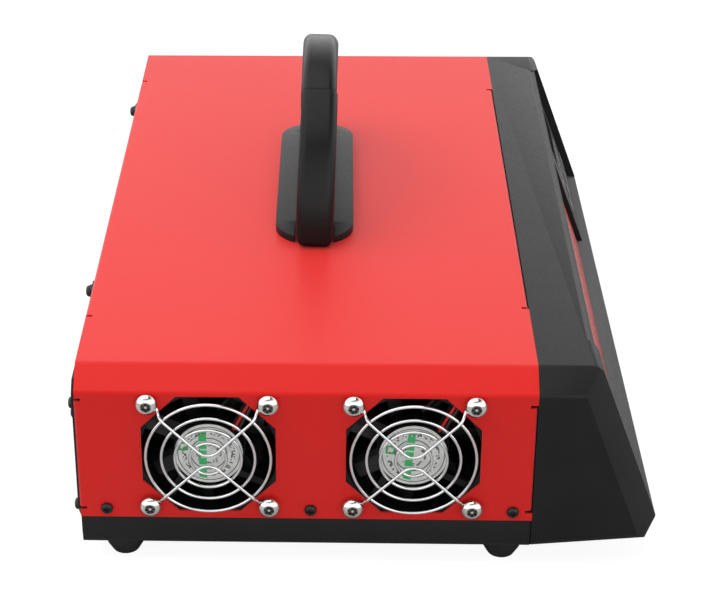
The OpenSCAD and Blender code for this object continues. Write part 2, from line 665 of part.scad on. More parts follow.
// One blade: a thin arc, seen along the radius, run out from the hub
blade_chord = 17;
blade_bow = 2.6;
blade_t = 1.2;
blade_section = [for (i = [0:6]) let (u = i / 3 - 1) [u * blade_chord / 2, blade_bow * (1 - u * u) + blade_t / 2],
    for (i = [6:-1:0]) let (u = i / 3 - 1) [u * blade_chord / 2, blade_bow * (1 - u * u) - blade_t / 2]];
module fan_wheel(i) color([0.09, 0.09, 0.09]) at_fan(i) translate([0, 0, -sheet_t - fan_t]) {
    difference() {
        translate([0, 0, 0.8]) cylinder(d = wheel_hub, h = fan_t - hub_h - wheel_gap - 0.8);
        translate([0, 0, 0.8 + wheel_wall]) cylinder(d = wheel_hub - 2 * wheel_wall, h = fan_t);
    }
    translate([0, 0, 1]) cylinder(d = shaft_dia, h = 15);
    intersection() {
        for (k = [0:blades - 1]) rotate(360 * k / blades) translate([wheel_hub / 2 - 1, 0, 9.3])
            rotate([90, 0, 90]) linear_extrude(fan_w / 2) rotate(48) translate([0, -blade_bow / 2])
            polygon(blade_section);
        difference() {
            translate([0, 0, 1.5]) cylinder(d = fan_bore - 2 * tip_gap, h = fan_t - hub_h - wheel_gap - 1.5);
            cylinder(d = wheel_hub - 1, h = fan_t);
        }
    }
}

module fan_coil(i) color([0.72, 0.42, 0.20]) at_fan(i) translate([0, 0, 6 - sheet_t - fan_t]) difference() {
    union() {
        cylinder(d = 14, h = 9);
        translate([0, 0, 2]) for (a = [0, 90, 180, 270]) rotate(a) translate([0, -3, 0]) cube([11, 6, 5]);
    }
    translate([0, 0, -1]) cylinder(d = bearing_dia, h = 12);
}

module fan_label(i) color([0.75, 0.76, 0.75]) at_fan(i) translate([0, 0, -sheet_t - label_t])
    cylinder(d = hub_dia - 0.6, h = label_t);

// A round wire swept along a list of points, as a closed mesh
wire_sides = 8;
module swept(path, dia) {
    n = len(path);
    s = wire_sides;
    pts = [for (i = [0:n - 1])
        let (t = unit(unit(path[min(i + 1, n - 1)] - path[min(i, n - 2)])
                 + unit(path[max(i, 1)] - path[max(i - 1, 0)])),
             u = unit(cross(t, [0, 0, 1])), v = cross(u, t))
        for (k = [0:s - 1]) path[i] + dia / 2 * (cos(360 * k / s) * u + sin(360 * k / s) * v)];
    sides = [for (i = [0:n - 2], k = [0:s - 1]) let (a = i * s + k, b = i * s + (k + 1) % s)
        each [[a, b, b + s], [a, b + s, a + s]]];
    ends = [[for (k = [s - 1:-1:0]) k], [for (k = [0:s - 1]) (n - 1) * s + k]];
    polyhedron(pts, concat(ends, sides));
}

// Finger guard: rings welded behind two bent wires, each curled round a screw at both ends
tip_h = [2.3, 2.9];
tip_r = 6;
knee = 19.4;
curl = 285;
curl_steps = 12;
ankle_run = 4.3;
module guard_wire(tip) {
    hole = fan_pitch / 2;
    far = (hole - knee) * sqrt(2);
    first = 225 - acos(eyelet_r / far);
    eyelet = [for (i = [0:curl_steps]) let (a = first - curl * i / curl_steps)
        [hole + eyelet_r * cos(a), hole + eyelet_r * sin(a), wire / 2]];
    ankle = eyelet[0] + ankle_run * [cos(first + 90), sin(first + 90), 0];
    right = concat([for (i = [0:curl_steps]) eyelet[curl_steps - i]], [ankle, [knee, knee, cross_rise]]);
    bend = [for (a = [315:-15:225]) [tip_r * cos(a), tip + tip_r + tip_r * sin(a), cross_rise]];
    left = [for (i = [len(right) - 1:-1:0]) [-right[i][0], right[i][1], right[i][2]]];
    swept(concat(right, bend, left), wire);
}
module fan_guard(i) color([0.80, 0.80, 0.80]) at_fan(i) {
    for (d = guard_rings) translate([0, 0, ring_rise]) rotate_extrude($fn = 96)
        translate([d / 2, 0]) circle(d = wire, $fn = 48);
    guard_wire(tip_h[0]);
    mirror([0, 1, 0]) guard_wire(tip_h[1]);
}

module guard_screws() color([0.82, 0.82, 0.82]) for (i = [0, 1], x = [-1, 1], y = [-1, 1]) at_fan(i)
    translate([x * fan_pitch / 2, y * fan_pitch / 2, wire])
    socket_screw(m4, m4_head, wire + sheet_t + fan_t + m4_nut[1] + 1);

module guard_nuts() color([0.75, 0.75, 0.75]) for (i = [0, 1], x = [-1, 1], y = [-1, 1]) at_fan(i)
    translate([x * fan_pitch / 2, y * fan_pitch / 2, -sheet_t - fan_t - m4_nut[1]]) difference() {
        cylinder(d = m4_nut[0], h = m4_nut[1], $fn = 6);
        translate([0, 0, -1]) cylinder(d = m4, h = m4_nut[1] + 2);
    }

// Fan leads: from the hub along a strut, through the frame's slot, down to a header on the board
header_h = 6;
lead_z = -sheet_t - strut_in + lead_dia / 2;
lead_low = z_board + header_h - z_fan;
lead_x = fan_w / 2 + 1.6;
red_route = [[10.4, 10.3, lead_z], [17.5, 24.3, lead_z], [18.2, 25.5, -10], [22.4, 22.6, -12.5],
    [lead_x, 13, -14.5], [lead_x, lead_low, -14.5]];
black_route = [[11.9, 9.5, lead_z], [19, 23.5, lead_z], [19.9, 24.7, -7.5], [23.4, 22.2, -9.5],
    [lead_x, 12, -11.5], [lead_x, lead_low, -11.5]];
module red_leads() color([0.80, 0.08, 0.08]) for (i = [0, 1]) at_fan(i) run(red_route, lead_dia);
module black_leads() color([0.06, 0.06, 0.06]) for (i = [0, 1]) at_fan(i) run(black_route, lead_dia);
module lead_headers() color([0.90, 0.90, 0.86]) for (i = [0, 1])
    at_fan(i) translate([lead_x - 2.5, z_board - z_fan, -16.2]) cube([5, header_h, 6.4]);

module cover_screws() color([0.10, 0.10, 0.10]) for (d = side_screw_d) {
    at_left(d, z_cover + side_screw_h) pan_screw(m3, m3_head, 6);
    at_right(d, z_cover + side_screw_h) pan_screw(m3, m3_head, 6);
}

// The earth screw stands beside the left upper corner of the rear panel
earth_spot = [14.5 - half_w, 43];
washer_t = 0.8;
module rear_screws() color([0.10, 0.10, 0.10]) {
    for (p = rear_screw_spots) translate([p[0], rear_face, z_cover + p[1]]) rotate([-90, 0, 0]) {
        washer = abs(p[0]) < rear_top_screw + 1 ? washer_t : 0;
        translate([0, 0, washer]) pan_screw(m3, m3_head, 5);
        if (washer > 0) difference() {
            cylinder(d = 6, h = washer);
            translate([0, 0, -1]) cylinder(d = m3, h = washer + 2);
        }
    }
    for (x = [-1, 1]) at_rear(rear_x[3] + x * inlet_pitch / 2, z_rear) translate([0, 0, inlet_rise])
        pan_screw(m3, m3_head, 8);
    translate([earth_spot[0], rear_face, z_cover + earth_spot[1]]) rotate([-90, 0, 0])
        pan_screw(m3, [5.6, 2.6], 6);
}

module moulding_screws() color([0.6, 0.6, 0.6]) for (x = boss_x)
    translate([x, tray_front_gap + tray_t - case_d, z_cover + boss_h]) rotate([-90, 0, 0])
    pan_screw(m3, m3_head, 12);

// Rubber feet with a screw up through the middle
foot_spots = [for (x = [-1, 1], d = [foot_ends[0], case_d - foot_ends[1]]) [x * (half_w - foot_in), -d]];
foot_flat = 5.6;
foot_side = 4.8;
module foot_pad(i) color([0.07, 0.07, 0.07]) translate(foot_spots[i]) difference() {
    rotate_extrude() polygon(rounded([[0, 0], [foot_flat, 0], [foot_dia / 2, foot_side], [foot_dia / 2, foot_h],
        [0, foot_h]], [0, 1.2, 2.5, 0.5, 0]));
    translate([0, 0, -1]) cylinder(d = 7.6, h = 5);
    cylinder(d = m4, h = foot_h + 1);
}
module foot_screws() color([0.7, 0.7, 0.7]) for (p = foot_spots) translate([p[0], p[1], 4]) mirror([0, 0, 1])
    pan_screw(m4, [7.2, 2.4], foot_h - 4 + tray_t + 2);

// Rear fittings, each in a frame whose z points out of the rear panel
inlet_body = [27.6, 20];
inlet_flange = [50, 24];
inlet_pitch = 40;
inlet_rise = 3;
inlet_cavity = [24.2, 16.2];
inlet_deep = 17;
module mains_inlet() color([0.08, 0.08, 0.08]) at_rear(rear_x[3], z_rear) difference() {
    union() {
        linear_extrude(inlet_rise) round_rect(inlet_flange, 5);
        translate([0, 0, -inlet_deep - 3]) linear_extrude(inlet_deep + 4) square(inlet_body, center = true);
    }
    translate([0, 0, inlet_rise - inlet_deep]) linear_extrude(inlet_deep + 1) let (h = inlet_cavity / 2)
        polygon(rounded([[-h[0], -h[1]], [h[0], -h[1]], [h[0], 2], [h[0] - 6, h[1]], [6 - h[0], h[1]], [-h[0], 2]],
        [1, 1, 1, 1, 1, 1]));
    for (x = [-1, 1]) translate([x * inlet_pitch / 2, 0, -1]) cylinder(r = m3 / 2 + m3_clear, h = 6);
    for (p = pin_spots) translate([p[0] - 1, p[1] - 2, -inlet_deep - 4]) cube([2, 4, 8]);
}
pin_spots = [[-7, -2], [0, 2], [7, -2]];
module inlet_pins() color([0.80, 0.78, 0.70]) at_rear(rear_x[3], z_rear) for (p = pin_spots)
    translate([p[0] - 1, p[1] - 2, -inlet_deep - 9]) cube([2, 4, inlet_deep + 5]);

switch_body = [13, 19.4];
switch_flange = [15.4, 21.4];
switch_rise = 1.6;
pocket = [10.8, 17];
pivot_z = -1;
pivot_dia = 3;
pivot_gap = 0.05;
module switch_housing() color([0.09, 0.09, 0.09]) at_rear(rear_x[2], z_rear) difference() {
    union() {
        linear_extrude(switch_rise) round_rect(switch_flange, 1.5);
        translate([0, 0, -14]) linear_extrude(15) square(switch_body, center = true);
    }
    translate([0, 0, -7]) linear_extrude(10) square(pocket, center = true);
    translate([-pocket[0] / 2 - 0.9, 0, pivot_z]) rotate([0, 90, 0]) cylinder(r = pivot_dia / 2 + pivot_gap, h = pocket[0] + 1.8);
}

// Rocker: a round-ended bar with a hollowed face, resting tipped to its off side
rocker_r = pocket[1] / 2 - 0.4;
rocker_w = pocket[0] - 0.6;
module power_switch() color([0.12, 0.12, 0.12]) at_rear(rear_x[2], z_rear) translate([0, 0, pivot_z])
    rotate([-rocker_swing / 2, 0, 0]) {
        translate([-rocker_w / 2, 0, 0]) rotate([90, 0, 90]) linear_extrude(rocker_w) intersection() {
            circle(rocker_r);
            polygon([[-10, -3], [10, -3], [10, 5], [0, 2.8], [-10, 5]]);
        }
        translate([-rocker_w / 2 - 0.7, 0, 0]) rotate([0, 90, 0]) cylinder(d = pivot_dia, h = rocker_w + 1.4);
    }

fuse_neck = 12.6;
module fuse_holder() color([0.08, 0.08, 0.08]) at_rear(rear_x[4], z_rear) difference() {
    union() {
        cylinder(d = 17, h = 2.2);
        translate([0, 0, 2]) cylinder(d = 13, h = 3.6);
        translate([0, 0, -26]) cylinder(d = fuse_neck, h = 27);
    }
    translate([-5, -0.7, 4.4]) cube([10, 1.4, 3]);
}

// Output sockets: an insulating body with a deep mouth, and a bored brass contact in each
socket_neck = 18;
socket_dia = 26;
mouth_dia = 14.5;
contact_dia = 13;
module output_socket(i, shade) color(shade) at_rear(rear_x[i], z_rear) difference() {
    rotate_extrude() polygon(rounded([[0, -16], [socket_neck / 2, -16], [socket_neck / 2, 0], [socket_dia / 2, 0],
        [socket_dia / 2, 3], [socket_dia / 2 - 2.5, socket_rise], [0, socket_rise]], [0, 0.5, 0, 0.6, 1, 1.5, 0]));
    translate([0, 0, socket_rise - 6]) cylinder(d = mouth_dia, h = 10);
    translate([0, 0, -17]) cylinder(d = contact_dia, h = 30);
}
module output_contacts() color([0.78, 0.62, 0.30]) for (i = [0, 1]) at_rear(rear_x[i], z_rear) difference() {
    union() {
        translate([0, 0, -20]) cylinder(d = contact_dia, h = 21);
        translate([0, 0, -24]) cylinder(d = 8, h = 5);
    }
    translate([0, 0, -14]) cylinder(d = contact_bore, h = 20);
}

// Power board on standoffs, with what stands on it
standoff_spots = [for (x = [board_x[0] + 14, 0, board_x[1] - 6], y = [board_y[0] + 6, board_y[1] - 6]) [x, -y]];
module main_board() color([0.12, 0.38, 0.20]) difference() {
    translate([board_x[0], -board_y[1], z_board - board_t])
        cube([board_x[1] - board_x[0], board_y[1] - board_y[0], board_t]);
    for (p = standoff_spots) translate([p[0], p[1], z_board - 3]) cylinder(d = m3, h = 4);
}
module board_standoffs() color([0.8, 0.75, 0.5]) for (p = standoff_spots) translate([p[0], p[1], z_floor]) difference() {
    union() {
        cylinder(d = 6.4, h = standoff_h, $fn = 6);
        translate([0, 0, standoff_h]) cylinder(d = m3, h = board_t);
        translate([0, 0, standoff_h + board_t]) cylinder(d = 5.5, h = 1.6);
    }
    translate([0, 0, -1]) cylinder(d = m3, h = 5);
}

// Finned heatsinks in the fans' air stream, their plates facing each other
module heatsink(i) color([0.72, 0.73, 0.74]) let (turn = i == 0 ? 1 : -1)
    across(20 - half_w + fan_t, heatsink_size[0]) translate([-fan_d[i], z_board]) {
        translate([turn > 0 ? -heatsink_size[1] / 2 : heatsink_size[1] / 2 - 4, 0]) square([4, heatsink_size[2]]);
        for (k = [0:fins - 1]) translate([-heatsink_size[1] / 2, 2 + k * (heatsink_size[2] - 4 - fin_t) / (fins - 1)])
            square([heatsink_size[1], fin_t]);
    }
transistor = [16, 5, 21];
transistor_pitch = 21;
module power_transistors() color([0.08, 0.08, 0.08]) for (i = [0, 1], k = [0:4])
    translate([20 - half_w + fan_t + 4 + k * transistor_pitch,
        i == 0 ? -fan_d[0] - heatsink_size[1] / 2 - transistor[1] : -fan_d[1] + heatsink_size[1] / 2, z_board + 8])
    difference() {
        cube(transistor);
        translate([transistor[0] / 2, -1, transistor[2] - 5]) rotate([-90, 0, 0]) cylinder(d = 3.4, h = 8);
    }

core_size = [60, 22, 56];
core_spot = [15, -96];
core_leg = 20;
core_window = [12, 36];
module transformer_core() color([0.20, 0.20, 0.21]) translate([core_spot[0], core_spot[1] + core_size[1] / 2, z_board])
    rotate([90, 0, 0]) linear_extrude(core_size[1]) difference() {
        translate([-core_size[0] / 2, 0]) square([core_size[0], core_size[2]]);
        for (side = [-1, 1]) translate([side * (core_leg + core_window[0]) / 2 - core_window[0] / 2, (core_size[2] - core_window[1]) / 2])
            square(core_window);
    }
module transformer_winding() color([0.75, 0.60, 0.25]) translate([core_spot[0], core_spot[1], z_board + (core_size[2] - core_window[1]) / 2 + 1])
    difference() {
        linear_extrude(core_window[1] - 2) round_rect([core_leg, core_size[1]] + [22, 22], 5);
        translate([0, 0, -1]) linear_extrude(core_window[1]) square([core_leg, core_size[1]], center = true);
    }

cap_spots = [[76, -50], [104, -50], [132, -50]];
cap_size = [25, 40];
module bulk_capacitors() color([0.12, 0.13, 0.20]) for (p = cap_spots) translate([p[0], p[1], z_board]) {
    cylinder(d = cap_size[0], h = cap_size[1]);
}

// Wound rings: the mains filter choke and the output choke
choke_spots = [[95, -110], [132, -110], [20, -40]];
module chokes() color([0.70, 0.45, 0.15]) for (p = choke_spots) translate([p[0], p[1], z_board])
    rotate_extrude() translate([11, 7]) intersection() {
        circle(7.2);
        translate([-7.2, -7]) square([14.4, 14]);
    }

placed() cover();
placed() base_tray();
placed() rear_panel();
placed() front_moulding();
placed() fascia();
placed() control_panel();
placed() display_window();
placed() display_module();
placed() indicator_lamps();
placed() push_button(0);  // push_button_1
placed() push_button(1);  // push_button_2
placed() push_button(2);  // push_button_3
placed() push_button(3);  // push_button_4
placed() control_board();
placed() board_screws();
placed() handle_grip();
placed() handle_leg(-1);  // handle_leg_left
placed() handle_leg(1);  // handle_leg_right
placed() handle_plate();
placed() handle_screws();
placed() fan_frame(0);  // fan_frame_1
placed() fan_frame(1);  // fan_frame_2
placed() fan_wheel(0);  // fan_wheel_1
placed() fan_wheel(1);  // fan_wheel_2
placed() fan_coil(0);  // fan_coil_1
placed() fan_coil(1);  // fan_coil_2
placed() fan_label(0);  // fan_label_1
placed() fan_label(1);  // fan_label_2
placed() fan_guard(0);  // fan_guard_1
placed() fan_guard(1);  // fan_guard_2
placed() guard_screws();
placed() guard_nuts();
placed() red_leads();
placed() black_leads();
placed() lead_headers();
placed() cover_screws();
placed() rear_screws();
placed() moulding_screws();
placed() foot_pad(0);  // foot_1
placed() foot_pad(1);  // foot_2
placed() foot_pad(2);  // foot_3
placed() foot_pad(3);  // foot_4
placed() foot_screws();
placed() mains_inlet();
placed() inlet_pins();
placed() switch_housing();
placed() power_switch();
placed() fuse_holder();
placed() output_socket(0, [0.10, 0.10, 0.10]);  // output_socket_1
placed() output_socket(1, [0.75, 0.10, 0.10]);  // output_socket_2
placed() output_contacts();
placed() main_board();
placed() board_standoffs();
placed() heatsink(0);  // heatsink_1
placed() heatsink(1);  // heatsink_2
placed() power_transistors();
placed() transformer_core();
placed() transformer_winding();
placed() bulk_capacitors();
placed() chokes();
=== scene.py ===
# %% [markdown]
# A workshop battery charger, seen from above its left side: a red sheet-steel cover over a
# black tray, a black moulded front, an arched handle and two cooling fans behind wire guards.
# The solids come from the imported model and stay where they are. This script gives them
# finishes, redraws the pieces that need finer form, and sets up light and camera. Blender
# counts in metres, so a length in millimetres is multiplied by mm.

# %% Load the frame
import json
import math

import bpy
from mathutils import Matrix, Vector


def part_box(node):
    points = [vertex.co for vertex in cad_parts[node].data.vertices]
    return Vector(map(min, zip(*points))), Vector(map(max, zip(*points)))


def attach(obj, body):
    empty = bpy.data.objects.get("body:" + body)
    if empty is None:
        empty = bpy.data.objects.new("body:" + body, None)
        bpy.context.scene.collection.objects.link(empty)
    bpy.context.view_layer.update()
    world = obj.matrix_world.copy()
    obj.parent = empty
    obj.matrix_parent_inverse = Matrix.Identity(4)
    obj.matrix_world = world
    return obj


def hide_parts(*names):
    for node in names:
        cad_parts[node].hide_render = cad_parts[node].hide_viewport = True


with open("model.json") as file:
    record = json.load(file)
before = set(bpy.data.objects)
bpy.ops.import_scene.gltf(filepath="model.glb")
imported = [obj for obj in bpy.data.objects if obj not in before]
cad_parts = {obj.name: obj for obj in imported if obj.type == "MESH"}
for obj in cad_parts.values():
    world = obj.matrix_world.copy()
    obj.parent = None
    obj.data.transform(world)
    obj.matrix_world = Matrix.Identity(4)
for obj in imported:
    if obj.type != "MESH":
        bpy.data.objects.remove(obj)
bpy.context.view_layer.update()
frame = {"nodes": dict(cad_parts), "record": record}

bpy.ops.object.select_all(action="DESELECT")
mm = 0.001

# %% [markdown]
# Place, direction, lens and shift come from a pinhole camera fitted to the case's corners in
# the photograph, so the render frames the charger as the photograph does. The camera's own
# axes, right, up and back, are the columns of its matrix.

# %% Camera
camera_place = (-0.88224, 0.00964, 0.50580)
look = Vector((0.881205, 0.027958, -0.471907))
right = Vector((0.028120, -0.999582, -0.006710))
up = right.cross(look)
camera_data = bpy.data.cameras.new("camera")
camera = bpy.data.objects.new("camera", camera_data)
bpy.context.scene.collection.objects.link(camera)
bpy.context.scene.camera = camera
camera_data.sensor_width = 36
camera_data.lens = 101.17
camera_data.shift_x = 0.1009
camera_data.shift_y = -0.0040
camera_data.clip_start = 0.05
turned = Matrix((right, up, -look)).transposed().to_4x4()
camera.matrix_world = Matrix.Translation(camera_place) @ turned
print("camera at", tuple(camera.location))

# %% [markdown]
# The studio is white. The camera, and rays that pass through clear parts, see plain white.
# Matt surfaces receive a weaker glow from all round, which with the lamps makes a colour
# render about as it is written. Bright wire and smooth black plastic show what they mirror, so
# for their rays the world is bright up to 30 degrees over the horizon and falls off to nearly
# black at 60. That keeps the shoulder's red deep and gives the wires their dark streaks.

# %% World
world_glow = 0.46
bright_to, dark_from = 0.5, 0.85
mirrored_low, mirrored_high = 1.9, 0.08


def mixed(tree, factor, first, second):
    """A mix of two shaders by a factor."""
    node = tree.nodes.new("ShaderNodeMixShader")
    tree.links.new(factor, node.inputs[0])
    tree.links.new(first.outputs[0], node.inputs[1])
    tree.links.new(second.outputs[0], node.inputs[2])
    return node


def white_glow(tree, kind, strength):
    """A white background or emission of a given strength."""
    node = tree.nodes.new(kind)
    node.inputs["Color"].default_value = (1, 1, 1, 1)
    node.inputs["Strength"].default_value = strength
    return node


world = bpy.data.worlds.new("studio")
bpy.context.scene.world = world
world.use_nodes = True
tree = world.node_tree
tree.nodes.clear()
path = tree.nodes.new("ShaderNodeLightPath")
coords = tree.nodes.new("ShaderNodeTexCoord")
split = tree.nodes.new("ShaderNodeSeparateXYZ")
fall = tree.nodes.new("ShaderNodeMapRange")
fall.inputs["From Min"].default_value = bright_to
fall.inputs["From Max"].default_value = dark_from
fall.inputs["To Min"].default_value = mirrored_low
fall.inputs["To Max"].default_value = mirrored_high
tree.links.new(coords.outputs["Generated"], split.inputs[0])
tree.links.new(split.outputs["Z"], fall.inputs["Value"])
lit = white_glow(tree, "ShaderNodeBackground", world_glow)
mirrored = white_glow(tree, "ShaderNodeBackground", 1)
seen = white_glow(tree, "ShaderNodeBackground", 1)
tree.links.new(fall.outputs["Result"], mirrored.inputs["Strength"])
straight = tree.nodes.new("ShaderNodeMath")
straight.operation = "MAXIMUM"
tree.links.new(path.outputs["Is Camera Ray"], straight.inputs[0])
tree.links.new(path.outputs["Is Transmission Ray"], straight.inputs[1])
for_light = mixed(tree, path.outputs["Is Glossy Ray"], lit, mirrored)
for_all = mixed(tree, straight.outputs[0], for_light, seen)
out = tree.nodes.new("ShaderNodeOutputWorld")
tree.links.new(for_all.outputs[0], out.inputs[0])
bpy.context.scene.view_settings.view_transform = "Standard"
print("world nodes:", len(tree.nodes))

# %% [markdown]
# A large soft lamp hangs over the charger, a little to its rear, and lights the top and the
# sloping shoulder most. A weak one to the left and front lifts the side with the fans.


# %% Lamps
def soft_lamp(name, place, target, size, power):
    """A square area lamp at a place, turned to a target, with a power in watts."""
    data = bpy.data.lights.new(name, "AREA")
    data.size = size
    data.energy = power
    lamp = bpy.data.objects.new(name, data)
    bpy.context.scene.collection.objects.link(lamp)
    lamp.location = place
    lamp.rotation_mode = "QUATERNION"
    lamp.rotation_quaternion = (Vector(target) - Vector(place)).to_track_quat("-Z", "Y")
    return lamp


overhead_lamp = soft_lamp("overhead_lamp", (-0.05, 0.45, 1.6), (0, 0, 0.08), 1.9, 24)
side_lamp = soft_lamp("side_lamp", (-1.6, -0.9, 0.9), (0, 0, 0.05), 0.9, 3)
print("lamps:", overhead_lamp.name, side_lamp.name)

# %% [markdown]
# The floor is a plain pale sheet. The camera sees it almost white: it glows, and a faint share
# of real diffuse light on top keeps the soft shadow round the feet. All other rays meet a matt
# grey sheet, which throws a plain amount of light back up.

# %% Floor
floor_size, floor_glow, floor_tone, shadow_tone = 6, 0.92, 0.62, 0.22


def matt_sheet(tree, tone):
    """A matt grey of one tone."""
    node = tree.nodes.new("ShaderNodeBsdfDiffuse")
    node.inputs["Color"].default_value = (tone, tone, tone, 1)
    return node


bpy.ops.mesh.primitive_plane_add(size=floor_size, location=(0, 0, 0))
floor = bpy.context.object
floor.name = "floor"
paper = bpy.data.materials.new("pale_floor")
paper.use_nodes = True
tree = paper.node_tree
tree.nodes.clear()
path = tree.nodes.new("ShaderNodeLightPath")
both = tree.nodes.new("ShaderNodeAddShader")
tree.links.new(matt_sheet(tree, shadow_tone).outputs[0], both.inputs[0])
tree.links.new(white_glow(tree, "ShaderNodeEmission", floor_glow).outputs[0], both.inputs[1])
pick = mixed(tree, path.outputs["Is Camera Ray"], matt_sheet(tree, floor_tone), both)
out = tree.nodes.new("ShaderNodeOutputMaterial")
tree.links.new(pick.outputs[0], out.inputs[0])
floor.data.materials.append(paper)
bpy.ops.object.select_all(action="DESELECT")
print("floor:", floor_size, "m wide")

# %% [markdown]
# Every finish is built from nodes on the object's own coordinates. A helper makes the base
# shader, and small helpers add what real surfaces have: a slow drift of tone, a fine grain in
# the roughness, and a bump for moulded texture or paint. Numbers that hold all over the
# surface are set on the shader itself.


# %% Material helpers
def new_finish(name, rough, metallic=0.0, specular=0.5, coat=0.0):
    """A principled material, with its nodes and shader, to be given a colour."""
    mat = bpy.data.materials.new(name)
    mat.use_nodes = True
    shader = mat.node_tree.nodes["Principled BSDF"]
    shader.inputs["Roughness"].default_value = rough
    shader.inputs["Metallic"].default_value = metallic
    shader.inputs["Specular IOR Level"].default_value = specular
    shader.inputs["Coat Weight"].default_value = coat
    return mat, mat.node_tree, shader


def noise(tree, scale, detail=2.0):
    """A noise texture on object coordinates, with its scale in ripples per metre."""
    coords = tree.nodes.new("ShaderNodeTexCoord")
    tex = tree.nodes.new("ShaderNodeTexNoise")
    tex.inputs["Scale"].default_value = scale
    tex.inputs["Detail"].default_value = detail
    tex.inputs["Roughness"].default_value = 0.5
    tree.links.new(coords.outputs["Object"], tex.inputs["Vector"])
    return tex.outputs["Fac"]


def ramp(tree, value, low, high, start=0.35, end=0.65):
    """A colour ramp between two colours, driven by a value."""
    node = tree.nodes.new("ShaderNodeValToRGB")
    node.color_ramp.elements[0].position = start
    node.color_ramp.elements[1].position = end
    node.color_ramp.elements[0].color = (*low, 1)
    node.color_ramp.elements[1].color = (*high, 1)
    tree.links.new(value, node.inputs[0])
    return node.outputs["Color"]


def spread(tree, value, low, high):
    """A number between two limits, driven by a value near its middle."""
    node = tree.nodes.new("ShaderNodeMapRange")
    node.inputs["From Min"].default_value = 0.3
    node.inputs["From Max"].default_value = 0.7
    node.inputs["To Min"].default_value = low
    node.inputs["To Max"].default_value = high
    tree.links.new(value, node.inputs["Value"])
    return node.outputs["Result"]


def grain(tree, shader, scale, depth, strength):
    """A fine bump, with its depth in millimetres."""
    bump = tree.nodes.new("ShaderNodeBump")
    bump.inputs["Distance"].default_value = depth * mm
    bump.inputs["Strength"].default_value = strength
    tree.links.new(noise(tree, scale), bump.inputs["Height"])
    tree.links.new(bump.outputs["Normal"], shader.inputs["Normal"])


def finish(name, low, high, rough, tone_scale, bump_scale, depth, strength, metallic=0.0,
           specular=0.5, coat=0.0, rough_drift=0.05):
    """A full finish: two close tones, drifting roughness and a fine bump."""
    mat, tree, shader = new_finish(name, rough, metallic, specular, coat)
    tone = ramp(tree, noise(tree, tone_scale, 4), low, high)
    tree.links.new(tone, shader.inputs["Base Color"])
    drift = noise(tree, bump_scale / 3)
    tree.links.new(spread(tree, drift, rough - rough_drift, rough + rough_drift),
                   shader.inputs["Roughness"])
    if depth > 0:
        grain(tree, shader, bump_scale, depth, strength)
    return mat


def put_on(piece, mat):
    """Gives a piece one finish, in place of any that it had."""
    piece.data.materials.clear()
    piece.data.materials.append(mat)


print("material helpers ready")

# %% [markdown]
# The cover has a fine red powder coat. It turns paler where it is seen at a flat angle, so its
# shader also has a weak sheen. The tray is painted a satin black, and the front, the handle
# and the fans are moulded in black plastics that differ a little in tone and gloss. After its
# name each finish has its darker and lighter tone, its roughness, the ripples of tone and of
# grain in a metre, and the grain's depth in millimetres and its strength.

# %% Finishes of the case
paint_red = finish("red_cover_paint", (0.775, 0.0070, 0.0035), (0.790, 0.0080, 0.0045),
                   0.46, 5, 700, 0.01, 0.06, specular=0.24, rough_drift=0.01)
paint_shader = paint_red.node_tree.nodes["Principled BSDF"]
paint_shader.inputs["Sheen Weight"].default_value = 0.33
paint_shader.inputs["Sheen Roughness"].default_value = 0.45
tray_black = finish("black_tray_paint", (0.010, 0.010, 0.010), (0.013, 0.013, 0.013),
                    0.42, 30, 1500, 0.03, 0.2, specular=0.22)
moulded = finish("moulded_front_black", (0.0095, 0.0095, 0.0100), (0.012, 0.012, 0.0125),
                 0.42, 60, 2600, 0.03, 0.25, specular=0.17)
handle_black = finish("handle_black", (0.006, 0.006, 0.0062), (0.008, 0.008, 0.0082),
                      0.33, 60, 1800, 0.02, 0.15, specular=0.17)
plate_black = finish("plate_black", (0.015, 0.015, 0.0155), (0.019, 0.019, 0.0195),
                     0.40, 60, 2400, 0.03, 0.25, specular=0.13)
fan_black = finish("fan_black", (0.004, 0.004, 0.004), (0.007, 0.007, 0.007),
                   0.35, 90, 1500, 0.02, 0.2, specular=0.22)
inner_black = finish("inner_black", (0.010, 0.010, 0.010), (0.016, 0.016, 0.016),
                     0.45, 90, 1200, 0.02, 0.2)
rubber = finish("foot_rubber", (0.010, 0.010, 0.010), (0.016, 0.016, 0.016),
                0.7, 120, 2400, 0.06, 0.4, specular=0.3)
fascia_red = finish("fascia_red", (0.58, 0.030, 0.028), (0.62, 0.036, 0.032),
                    0.30, 20, 900, 0.01, 0.1)
print("case finishes:", len(bpy.data.materials))

# %% [markdown]
# The bare metals are bright chrome on the guards, nickel on their screws with a shaded socket,
# zinc on hidden screws, black oxide on those of the case, brass contacts, enamelled copper
# wire and an extruded alloy. They are told apart by tone and roughness.

# %% Metals
chrome = finish("guard_chrome", (0.60, 0.60, 0.61), (0.66, 0.66, 0.66),
                0.06, 200, 1500, 0.01, 0.1, metallic=1.0, rough_drift=0.02)
screw_chrome = finish("screw_nickel", (0.62, 0.60, 0.57), (0.72, 0.70, 0.67),
                      0.13, 200, 2500, 0.01, 0.1, metallic=1.0)
socket_shade = finish("socket_shade", (0.10, 0.095, 0.09), (0.18, 0.175, 0.165),
                      0.35, 300, 2500, 0.01, 0.1, metallic=0.8)
steel = finish("zinc_steel", (0.52, 0.53, 0.54), (0.64, 0.64, 0.63),
               0.3, 150, 1500, 0.02, 0.2, metallic=1.0)
black_steel = finish("black_steel", (0.006, 0.006, 0.006), (0.010, 0.010, 0.010),
                     0.30, 150, 1500, 0.02, 0.2, specular=0.35)
brass = finish("plated_brass", (0.66, 0.50, 0.22), (0.78, 0.62, 0.32),
               0.25, 120, 1500, 0.01, 0.1, metallic=1.0)
